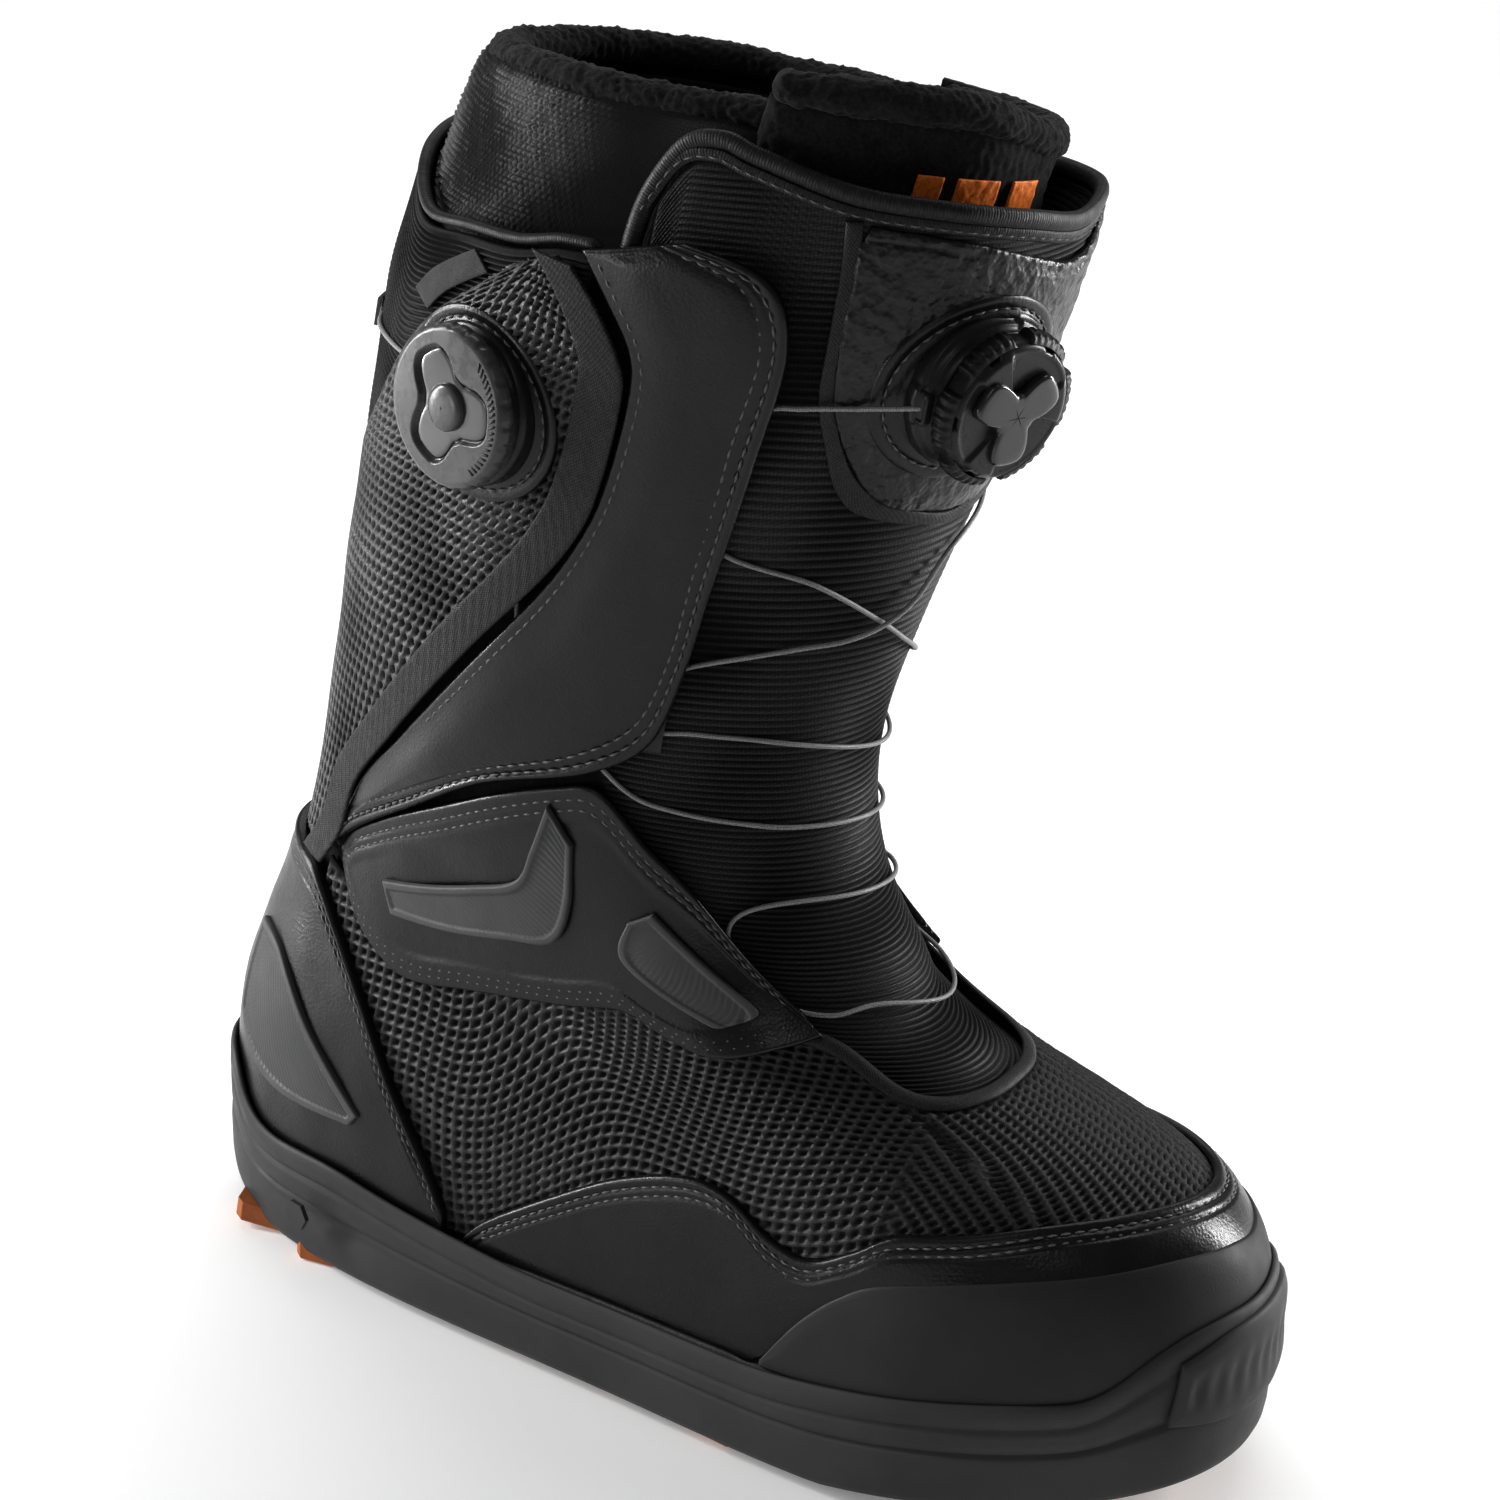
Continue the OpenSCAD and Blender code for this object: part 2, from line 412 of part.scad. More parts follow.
// Dials: each sits on its own frame, z outward along the turning axis
FRONT_AT = [65.3, -20.7, 275.9];
FRONT_TURN = [100.95, -22.13];
SIDE_AT = [-42.9, -58.9, 260.6];
SIDE_TURN = [87.13, -104.52];
function on(c, q, x, y, z) = c + x * [cos(q[0]) * cos(q[1]), cos(q[0]) * sin(q[1]), -sin(q[0])]
  + y * [-sin(q[1]), cos(q[1]), 0] + z * [sin(q[0]) * cos(q[1]), sin(q[0]) * sin(q[1]), cos(q[0])];
function front(x, y, z) = on(FRONT_AT, FRONT_TURN, x, y, z);
function side(x, y, z) = on(SIDE_AT, SIDE_TURN, x, y, z);
module on_front() {
  translate(FRONT_AT) rotate([0, FRONT_TURN[0], FRONT_TURN[1]]) children();
}
module on_side() {
  translate(SIDE_AT) rotate([0, SIDE_TURN[0], SIDE_TURN[1]]) children();
}
// levels of a dial: floor top, spool bottom, spool top, cup top, hub top, head top, knob top
FL = [1.5, 1.7, 5.7, 6, 9.5, 10.9, 13];
SL = [1.2, 1.4, 3.5, 3.7, 5.7, 6.6, 8];
post_r = 3;
hub_r = 4.5;
gap_r = 0.05;
module dial_base(l, r, ports, low) {
  difference() {
    union() {
      cylinder(r = r, h = l[0]);
      difference() {
        cylinder(r = r, h = l[3]);
        translate([0, 0, l[0]]) cylinder(r = r - 2.4, h = l[3]);
      }
      cylinder(r = post_r, h = l[2] - 0.3);
    }
    translate([0, 0, 0.6]) cylinder(r = 1.27, h = l[3]);
    if (ports) {
      for (y = [-r, r]) translate([-2.5, y - 2.6, l[1] + 0.1]) cube([5, 5.2, l[2] - l[1] - 0.2]);
    }
    if (low) {
      for (y = [-11.3, 11.3]) translate([0, y, -1]) cylinder(r = 1.3, h = 4);
    }
  }
}
module dial_screw(l) {
  translate([0, 0, 0.8]) cylinder(r = 1.25, h = l[4] + 0.1 - 0.8);
  difference() {
    translate([0, 0, l[4] + 0.1]) cylinder(r = 3, h = l[5] - l[4] - 0.1);
    for (a = [0, 90]) rotate([0, 0, a]) translate([-2, -0.4, l[5] - 0.5]) cube([4, 0.8, 2]);
  }
}
module dial_spool(l, low_r) {
  difference() {
    union() {
      translate([0, 0, l[1]]) cylinder(r = low_r, h = 0.3);
      translate([0, 0, l[1]]) cylinder(r = 7, h = l[2] - l[1]);
      translate([0, 0, l[2] - 0.3]) cylinder(r = 12.6, h = 0.3);
      translate([0, 0, l[2] - 0.2]) cylinder(r = hub_r, h = l[4] - l[2] + 0.2);
    }
    translate([0, 0, l[1] - 1]) cylinder(r = post_r + gap_r, h = l[2] - l[1] + 0.9);
    translate([0, 0, l[1]]) cylinder(r = 1.25 + gap_r, h = 20);
  }
}
module knob_body(l, r, chamfer) {
  top = l[6];
  base = l[3] + 0.3;
  difference() {
    rotate_extrude() polygon([[0, base], [r - 2.6, base], [r - 1.9, base + 0.7], [r - 1.9, top - chamfer],
      [r - 1.9 - chamfer, top], [0, top]]);
    translate([0, 0, base - 1]) cylinder(r = hub_r + gap_r, h = l[4] - base + 1.05);
    translate([0, 0, l[4]]) cylinder(r = 3.6, h = l[5] - l[4] + 0.3);
  }
}
module front_dial_base() {
  color([0.14, 0.14, 0.15]) {
    on_front() dial_base(FL, 17, true, false);
  }
}
module front_dial_screw() {
  color([0.6, 0.6, 0.62]) on_front() dial_screw(FL);
}
module front_dial_spool() {
  color([0.3, 0.3, 0.31]) on_front() dial_spool(FL, 12.6);
}
module front_knob() {
  color([0.16, 0.16, 0.17]) on_front() knob_body(FL, front_r, 2.4);
}
module front_knob_grips() {
  r = front_r;
  a = FL[3] + 0.9;
  b = FL[6] - 2;
  color([0.1, 0.1, 0.1]) on_front() for (i = [0:5]) rotate([0, 0, i * 60 + 7])
    rotate_extrude(angle = 46) polygon([[r - 1.8, a], [r - 0.6, a], [r, a + 0.8], [r, b - 1.2],
      [r - 0.8, b], [r - 1.8, b]]);
}
module front_knob_cap() {
  p = [for (i = [0:2]) for (q = [[11.5, -15], [12.4, 0], [11.5, 15], [5.4, 60]])
    let (a = i * 120 + q[1]) [q[0] * cos(a), q[0] * sin(a)]];
  color([0.08, 0.08, 0.08]) on_front() translate([0, 0, FL[6]]) linear_extrude(1.5) polygon(p);
}
module side_dial_base() {
  color([0.14, 0.14, 0.15]) on_side() dial_base(SL, 17.2, false, true);
}
module side_dial_screw() {
  color([0.6, 0.6, 0.62]) on_side() dial_screw(SL);
}
module side_dial_spool() {
  color([0.3, 0.3, 0.31]) on_side() dial_spool(SL, 9.6);
}
module side_knob() {
  r = side_r + 1.9;
  color([0.3, 0.3, 0.31]) on_side() knob_body(SL, r, 1.6);
}
module side_knob_trim() {
  p = [for (i = [0:2]) for (q = [[13.5, -14], [14.2, 0], [13.5, 14], [8.6, 60]])
    let (a = i * 120 + q[1] + 90) [q[0] * cos(a), q[0] * sin(a)]];
  color([0.08, 0.08, 0.08]) on_side() translate([0, 0, SL[6]]) {
    linear_extrude(0.8) polygon(p);
    cylinder(r = 5.2, h = 1.2);
  }
}

// Laces: route points are [s around, t up, offset] on the skin, in order
function lift(r, n) = [for (i = [0:n]) let (q = curve(r, i / n))
  at(q[0], q[1], q[2] + 0.7 * rise(q[0], 0.385, 0.42))];
UPPER_1 = [[0.385, 0.888, 3.6], [0.36, 0.886, 2.6], [0.34, 0.88, 1], [0.325, 0.85, 1],
  [0.33, 0.815, 1], [0.348, 0.8, 1], [0.4, 0.785, 1], [0.45, 0.762, 1], [0.5, 0.738, 1],
  [0.56, 0.715, 1], [0.62, 0.7, 1], [0.655, 0.692, 1], [0.668, 0.677, 1], [0.655, 0.662, 1],
  [0.6, 0.662, 1], [0.53, 0.665, 1], [0.42, 0.685, 1], [0.36, 0.69, 1], [0.335, 0.69, 1],
  [0.325, 0.71, 1], [0.343, 0.733, 1], [0.4, 0.748, 1.4], [0.43, 0.754, 2.5], [0.455, 0.761, 2.7],
  [0.475, 0.772, 2.4], [0.5, 0.795, 1.2], [0.56, 0.81, 1], [0.62, 0.818, 1], [0.655, 0.825, 1],
  [0.67, 0.85, 1], [0.655, 0.88, 1], [0.62, 0.886, 1.4], [0.588, 0.888, 2.8], [0.555, 0.889, 3.8]];
UPPER = concat([front(0, -8.3, 3.7), front(0, -13, 3.7), front(0, -17.5, 3.7)], lift(UPPER_1, 90),
  [front(0, 17.5, 3.7), front(0, 13, 3.7), front(0, 8.3, 3.7)]);
LOWER_1 = [[0.232, 0.852, 0.8], [0.242, 0.8, 0.8], [0.25, 0.74, 0.8], [0.27, 0.695, 0.8],
  [0.3, 0.665, 0.8], [0.325, 0.64, 0.8], [0.35, 0.632, 0.8], [0.4, 0.626, 0.8],
  [0.48, 0.62, 0.8], [0.56, 0.61, 0.8], [0.625, 0.603, 0.8], [0.65, 0.597, 0.8],
  [0.653, 0.58, 0.8], [0.635, 0.552, 0.8], [0.61, 0.545, 0.8], [0.56, 0.553, 0.8],
  [0.5, 0.563, 0.8], [0.43, 0.568, 0.8], [0.39, 0.56, 0.8], [0.372, 0.54, 0.8],
  [0.372, 0.505, 0.8], [0.385, 0.478, 0.8], [0.41, 0.47, 0.8], [0.45, 0.477, 0.8],
  [0.52, 0.46, 0.8], [0.58, 0.462, 0.8], [0.62, 0.478, 0.8], [0.65, 0.52, 0.8],
  [0.672, 0.575, 0.8], [0.685, 0.64, 0.8], [0.705, 0.68, 0.8], [0.735, 0.72, 0.8],
  [0.76, 0.78, 0.8], [0.775, 0.83, 0.8], [0.8, 0.866, 0.8], [0.85, 0.87, 0.8],
  [0.9, 0.868, 0.8], [0.95, 0.866, 0.8], [1, 0.865, 0.8], [1.05, 0.866, 0.8],
  [1.1, 0.868, 0.8], [1.15, 0.866, 0.8], [1.168, 0.863, 0.9]];
LOWER = concat([side(0, 8.3, 2.45), side(0, 10.4, 2.2), side(0, 11.3, 0.6), side(0, 11.3, -2.6)],
  lift(LOWER_1, 110),
  [side(0, -11.3, -2.6), side(0, -11.3, 0.6), side(0, -10.4, 2.2), side(0, -8.3, 2.45)]);
module upper_lace() {
  color([0.35, 0.35, 0.36]) cord(UPPER, lace_d, 100, 5);
}
module lower_lace() {
  color([0.35, 0.35, 0.36]) cord(LOWER, lace_d, 116, 5);
}
module tab(s, t, o) {
  sheet(ruled([[s - 0.012, t - 0.012], [s + 0.012, t - 0.012]], [[s - 0.012, t + 0.012],
    [s + 0.012, t + 0.012]], 2, 2), o, o + 0.25);
}
module lace_guides_lateral() {
  color([0.12, 0.12, 0.12]) for (q = [[0.326, 0.85], [0.332, 0.813], [0.327, 0.714], [0.328, 0.688]])
    tab(q[0], q[1], 1.8);
}
module lace_guides_medial() {
  color([0.12, 0.12, 0.12]) for (q = [[0.67, 0.85], [0.662, 0.823], [0.665, 0.69], [0.665, 0.665]])
    tab(q[0], q[1], 1.8);
}
module rear_lace_guide() {
  a = [[-0.05, 0.858], [0, 0.857], [0.05, 0.858]];
  b = [[-0.05, 0.874], [0, 0.873], [0.05, 0.874]];
  color([0.1, 0.1, 0.1]) sheet(ruled(a, b, 10, 2), 1.8, 2.6);
}
module heel_harness() {
  a = [[-0.3, 0.56], [-0.2, 0.47], [-0.1, 0.42], [0, 0.4], [0.1, 0.42], [0.2, 0.47], [0.3, 0.56]];
  b = [[-0.3, 0.64], [-0.2, 0.56], [-0.1, 0.51], [0, 0.49], [0.1, 0.51], [0.2, 0.56], [0.3, 0.64]];
  color([0.2, 0.2, 0.2]) sheet(ruled(a, b, 18, 2), -5.2, -4.3);
}

// Liner
function liner_top(s) = 1.03 + 0.03 * cos(360 * s) + 0.02 * sin(360 * s);
function ahead(s) = ramp(abs(s - floor(s) - 0.5), 0.26, 0.12);
function at_wings(s) = ramp(abs(s - floor(s) - 0.5), 0.34, 0.22);
function liner_out(s, t) = -6 - 3 * ahead(s) * ramp(t, 0.36, 0.5) - 7 * at_wings(s) * ramp(t, 0.8, 1);
function foam(s, t) = 4.5 + (foam_t - 4.5) * ramp(t, 0.25, 0.5);
function liner_in(s, t) = liner_out(s, t) - foam(s, t);
// height on the liner: r from 0 to 1 over the foot, from 1 to 2 up the shaft
function up(s, r) = r <= 1 ? 0.0508 + 0.3102 * r : 0.3615 + (liner_top(s) - 0.3615) * (r - 1);
function grid(s0, s1, n, r0, r1, m) = [for (i = [0:n]) let (s = s0 + (s1 - s0) * i / n)
  [for (j = [0:m]) [s, up(s, r0 + (r1 - r0) * j / m)]]];
module foam_panel(g) {
  sheet(g, function(s, t) liner_in(s, t), function(s, t) liner_out(s, t));
}
module liner_sole() {
  color([0.11, 0.11, 0.115])
  loft([drop(base_ring(-9), -0.4), drop(base_ring(-6.6), -3), ring(SS, 0.05, -6), ring(SS, 0.05, -10.5),
    drop(base_ring(-12.5), -5.5)]);
}
module liner_foot() {
  color([0.11, 0.11, 0.115]) {
    for (c = [0, 0.25, 0.5, 0.75]) foam_panel(grid(c - 0.1245, c + 0.1245, 11, 0, 1, 5));
  }
}
module liner_shaft() {
  color([0.11, 0.11, 0.115]) for (c = [0, 0.25, 0.5, 0.75])
    foam_panel(grid(c - 0.1245, c + 0.1245, 9, 1.0001, 2, 10));
}
module liner_lining() {
  rows = [0.3, 0.55, 0.8, 1, 1.1, 1.2, 1.3, 1.4, 1.5, 1.6, 1.7, 1.8, 1.9, 1.994];
  function lining(r, o) = [for (s = arc_s(36)) let (u = up(s, r)) at(s, u, liner_in(s, u) - o)];
  color([0.13, 0.13, 0.13])
  loft(concat([drop(ring(arc_s(36), 0, -14), -6)], [for (r = rows) lining(r, 1.6)],
    [for (i = [0:13]) lining(rows[13 - i], 1.6 + fleece_t)], [drop(ring(arc_s(36), 0, -16), -7.6)]));
}
module liner_rim() {
  color([0.12, 0.12, 0.12]) for (c = [0, 0.25, 0.5, 0.75])
    cord([for (i = [-12:12]) let (s = c + 0.1222 * i / 12)
      at(s, liner_top(s) + 0.016, liner_out(s, 1) - foam_t / 2 - 0.6)], 2 * rim_r, 11, 8);
}
module liner_rear_cuff() {
  color([0.1, 0.1, 0.105]) sheet(grid(-0.3, 0.3, 24, 1.55, 1.993, 5),
    function(s, t) liner_out(s, t) + 0.6, function(s, t) liner_out(s, t) + 1.5);
}
module liner_front_wrap() {
  color([0.1, 0.1, 0.105]) sheet(grid(0.35, 0.65, 14, 1.2, 1.993, 8),
    function(s, t) liner_out(s, t) + 1.2, function(s, t) liner_out(s, t) + 2.9);
}
module footbed() {
  color([0.2, 0.2, 0.21]) loft([drop(base_ring(-18), -8.4), drop(base_ring(-18), -11)]);
}

outsole();
toe_bumper();
sole_lugs_orange();
sole_lugs_black();
sole_side_plug();
midsole();
lasting_board();
shank();
upper_mesh();
mudguard();
toe_rand();
heel_counter();
heel_inlays();
backstay();
rear_collar();
collar_binding();
shell_lining();
side_mesh_lateral();
side_mesh_medial();
side_binding_lateral();
side_binding_medial();
lateral_flap();
medial_flap();
ankle_panel_lateral();
ankle_panel_medial();
ankle_inlays_lateral();
ankle_inlays_medial();
side_label();
tongue();
tongue_binding();
tongue_patch();
tongue_seam_tape();
lace_guides_lateral();
lace_guides_medial();
rear_lace_guide();
upper_lace();
lower_lace();
heel_harness();
front_dial_base();
front_dial_screw();
front_dial_spool();
front_knob();
front_knob_grips();
front_knob_cap();
side_dial_base();
side_dial_screw();
side_dial_spool();
side_knob();
side_knob_trim();
liner_sole();
liner_foot();
liner_shaft();
liner_front_wrap();
liner_lining();
liner_rim();
liner_rear_cuff();
footbed();
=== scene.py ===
import math
import bpy
import numpy as np
from mathutils import Matrix, Vector


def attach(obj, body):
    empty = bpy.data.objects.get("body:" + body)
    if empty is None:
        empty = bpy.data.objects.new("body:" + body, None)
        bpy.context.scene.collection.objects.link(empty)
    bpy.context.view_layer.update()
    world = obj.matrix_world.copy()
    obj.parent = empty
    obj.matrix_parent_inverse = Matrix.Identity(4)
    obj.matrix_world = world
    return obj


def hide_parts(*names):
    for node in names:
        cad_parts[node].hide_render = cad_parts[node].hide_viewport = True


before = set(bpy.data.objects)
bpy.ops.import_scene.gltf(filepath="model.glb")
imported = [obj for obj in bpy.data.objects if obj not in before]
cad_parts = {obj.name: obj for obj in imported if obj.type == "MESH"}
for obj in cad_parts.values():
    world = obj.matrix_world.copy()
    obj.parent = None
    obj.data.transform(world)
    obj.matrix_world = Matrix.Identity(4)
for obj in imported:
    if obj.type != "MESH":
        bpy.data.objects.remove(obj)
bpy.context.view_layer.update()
MM = 0.001
PI2 = 2 * math.pi
HEIGHT, GIRTH = 330, 330  # the skin's size for one unit of t and of s, millimetres
UV_SCALE = 0.01  # texture units to a millimetre

# Skin coordinates: s runs round the boot (0 heel, .25 lateral side, .5 toe, .75 medial side), t from the sole
# (0) to the top of the shell (1).

# ------------------------------------------------------------------ boot skin
# Each ring: rear x and z, front x and z, half widths of the lateral and of the medial side from rear to front.
RINGS = [
    (-149, 25, 145, 32, (27, 40, 43, 53, 34), (27, 40, 37, 52, 44)),
    (-149, 48, 146, 54, (27, 41, 43, 52, 33), (27, 41, 38, 51, 42)),
    (-147, 68, 139, 75, (25, 39, 41, 49, 29), (25, 39, 38, 47, 36)),
    (-140, 86, 116, 85, (22, 36, 38, 46, 27), (22, 36, 36, 44, 30)),
    (-133, 104, 86, 94, (20, 33, 37, 42, 25), (20, 33, 36, 40, 26)),
    (-127, 122, 57, 108, (19, 32, 38, 39, 24), (19, 32, 38, 37, 24)),
    (-122, 142, 38, 131, (19, 33, 41, 38, 23), (19, 33, 41, 37, 24)),
    (-117, 168, 30, 162, (21, 37, 45, 39, 23), (21, 37, 45, 39, 24)),
    (-111, 200, 38, 198, (24, 42, 50, 43, 25), (24, 42, 50, 43, 26)),
    (-104, 240, 55, 242, (27, 47, 55, 48, 28), (27, 47, 55, 48, 28)),
    (-97, 282, 71, 286, (30, 51, 59, 53, 32), (30, 51, 59, 53, 31)),
    (-86, 310, 79, 316, (30, 51, 59, 53, 32), (30, 51, 59, 53, 32))]
K = 12
M = len(RINGS)


def _net():
    """Control points of the skin, with one mirrored row below and one above."""
    fr = [0, .067, .25, .5, .75, .933, 1]
    grow = 3 / (2 + math.cos(PI2 / K))
    rows = []
    for rx, rz, fx, fz, lat, med in RINGS:
        rear, front = np.array([rx, 0, rz], float), np.array([fx, 0, fz], float)
        mid = (rear + front) / 2
        row = []
        for i in range(K):
            j = i if i <= 6 else K - i
            w = 0 if j in (0, 6) else (-lat[j - 1] if i < 6 else med[j - 1])
            p = rear + (front - rear) * fr[j] + np.array([0, w, 0])
            row.append(mid + (p - mid) * grow)
        rows.append(row)
    a = np.array(rows)
    return np.concatenate([[2 * a[0] - a[1]], a, [2 * a[-1] - a[-2]]])


NET = _net()


def _bw(f):
    """Weights of the four control points at fraction f of a cubic B-spline span."""
    return np.stack([(1 - f)**3, 3 * f**3 - 6 * f**2 + 4, -3 * f**3 + 3 * f**2 + 3 * f + 1, f**3]) / 6


def _bd(f):
    """Slopes of those weights."""
    return np.stack([-(1 - f)**2, 3 * f**2 - 4 * f, -3 * f**2 + 2 * f + 1, f**2]) / 2


def skin(s, t):
    """Point, unit outward normal, d/ds and d/dt of the boot skin, in millimetres."""
    s, t = np.broadcast_arrays(np.asarray(s, float), np.asarray(t, float))
    tc = np.clip(t, 0, 1)
    v = s * K
    a = np.floor(v).astype(int)
    u = tc * (M - 1)
    b = np.minimum(np.floor(u).astype(int), M - 2)
    ws, wd, wt, wu = _bw(v - a), _bd(v - a) * K, _bw(u - b), _bd(u - b) * (M - 1)
    p = np.zeros(s.shape + (3,))
    ps, pt = p.copy(), p.copy()
    for j in range(4):
        for i in range(4):
            q = NET[b + j, (a - 1 + i) % K]
            p += (wt[j] * ws[i])[..., None] * q
            ps += (wt[j] * wd[i])[..., None] * q
            pt += (wu[j] * ws[i])[..., None] * q
    n = np.cross(ps, pt)
    n /= np.linalg.norm(n, axis=-1, keepdims=True) + 1e-12
    return p + (t - tc)[..., None] * pt, n, ps, pt


def at(s, t, o=0.0):
    """Skin point lifted by o millimetres."""
    p, n, _, _ = skin(s, t)
    return p + np.asarray(o, float)[..., None] * n


def smooth(x, a, b):
    """Soft step from 0 at a to 1 at b."""
    u = np.clip((np.asarray(x, float) - a) / (b - a), 0, 1)
    return u * u * (3 - 2 * u)


def rise(s, a, b):
    """Soft step over the distance from the heel line, the same on both sides."""
    s = np.asarray(s, float) % 1.0
    return smooth(np.minimum(s, 1 - s), a, b)


def curve(p, u):
    """Smooth curve through the rows of p, u from 0 to 1."""
    p = np.asarray(p, float)
    u = np.asarray(u, float)
    n = len(p) - 1
    x = u * n
    i = np.clip(np.floor(x).astype(int), 0, n - 1)
    f = (x - i)[..., None]
    a, b, c, d = p[np.maximum(i - 1, 0)], p[i], p[i + 1], p[np.minimum(i + 2, n)]
    return ((2 * b) + (c - a) * f + (2 * a - 5 * b + 4 * c - d) * f**2 + (3 * b - a - 3 * c + d) * f**3) / 2


def run(p):
    """Distance travelled along the rows of p."""
    return np.concatenate([[0], np.cumsum(np.linalg.norm(np.diff(p, axis=0), axis=1))])


def even(p, n, metric=None):
    """n points evenly spaced along the smooth curve through p; metric maps points to millimetres."""
    u = np.linspace(0, 1, 40 * len(p))
    q = curve(p, u)
    l = run(metric(q) if metric else q)
    return np.interp(np.linspace(0, l[-1], n), l, u), l[-1]


def flip(p):
    """The same line on the medial side."""
    q = np.array(p, float)
    q[:, 0] = 1 - q[:, 0]
    return q


def waves(p, size, seed, n=10):
    """Smooth seeded noise of about unit height over points p, with features of about size."""
    r = np.random.RandomState(seed)
    out = np.zeros(p.shape[:-1])
    for _ in range(n):
        k = r.normal(size=3)
        k *= PI2 / size * r.uniform(0.6, 1.5) / np.linalg.norm(k)
        out += np.sin(p @ k + r.uniform(0, PI2))
    return out / math.sqrt(n / 2)


# ------------------------------------------------------------------ mesh helpers
def put(name, verts, faces, uv=None, mat=None, body="boot", node=None, smooth_on=True, relief=None):
    """One visible piece in millimetres that rides a body and stands for CAD nodes."""
    me = bpy.data.meshes.new(name)
    v = np.asarray(verts, float).reshape(-1, 3) * MM
    f = np.asarray(faces, dtype=np.int32)
    me.vertices.add(len(v))
    me.vertices.foreach_set("co", v.ravel().astype(np.float32))
    k = f.shape[1]
    me.loops.add(f.size)
    me.loops.foreach_set("vertex_index", f.ravel())
    me.polygons.add(len(f))
    me.polygons.foreach_set("loop_start", np.arange(0, f.size, k, dtype=np.int32))
    me.polygons.foreach_set("use_smooth", np.full(len(f), smooth_on))
    me.update(calc_edges=True)
    me.validate()
    if uv is not None:
        lay = me.uv_layers.new(name="UVMap")
        w = np.asarray(uv, float).reshape(-1, 2)[f.ravel()] * UV_SCALE
        lay.data.foreach_set("uv", w.ravel().astype(np.float32))
    # relief height per point; the cloth materials read it to paint shade in the hollows and highlights on the ridges
    if relief is not None:
        att = me.attributes.new("relief", "FLOAT", "POINT")
        att.data.foreach_set("value", np.ravel(relief).astype(np.float32))
    ob = bpy.data.objects.new(name, me)
    bpy.context.scene.collection.objects.link(ob)
    me.materials.append(mat)
    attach(ob, body)
    if node:
        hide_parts(*([node] if isinstance(node, str) else node))
    return ob


def quads(nu, nv, close_u=False, close_v=False, flipped=False):
    """Faces of a grid of nu by nv points, closed round either way if wished."""
    i, j = np.meshgrid(np.arange(nu if close_u else nu - 1), np.arange(nv if close_v else nv - 1), indexing="ij")
    a = i * nv + j
    b = ((i + 1) % nu) * nv + j
    c = ((i + 1) % nu) * nv + (j + 1) % nv
    d = i * nv + (j + 1) % nv
    q = np.stack([a, b, c, d], -1).reshape(-1, 4)
    return q[:, ::-1] if flipped else q


def put_grids(name, grids, mat, body="boot", node=None, slot=None, smooth_on=True, **form):
    """One piece made of several grids of points; form says how quads closes each of them."""
    F, k = [], 0
    for P in grids:
        F.append(quads(*P.shape[:2], **form) + k)
        k += P.shape[0] * P.shape[1]
    V = np.concatenate([P.reshape(-1, 3) for P in grids])
    return put(name, V, np.concatenate(F), None, mat, body, node, smooth_on)


def mm_uv(p):
    """Texture coordinates in millimetres along both ways of a grid of points."""
    du = np.linalg.norm(np.diff(p, axis=0), axis=-1)
    dv = np.linalg.norm(np.diff(p, axis=1), axis=-1)
    u = np.concatenate([np.zeros((1, p.shape[1])), np.cumsum(du, 0)])
    v = np.concatenate([np.zeros((p.shape[0], 1)), np.cumsum(dv, 1)], 1)
    return u, v


def turned(S, T):
    """True for a grid of s and t that runs the other way round, so that its faces have to be flipped."""
    d = S[-1, -1] - S[0, 0], T[-1, -1] - T[0, 0]
    e = S[0, -1] - S[-1, 0], T[0, -1] - T[-1, 0]
    return d[0] * e[1] - d[1] * e[0] < 0


def thicken(ob, thick):
    """Gives a sheet a thickness inwards."""
    m = ob.modifiers.new("thick", "SOLIDIFY")
    m.thickness, m.offset = thick * MM, -1


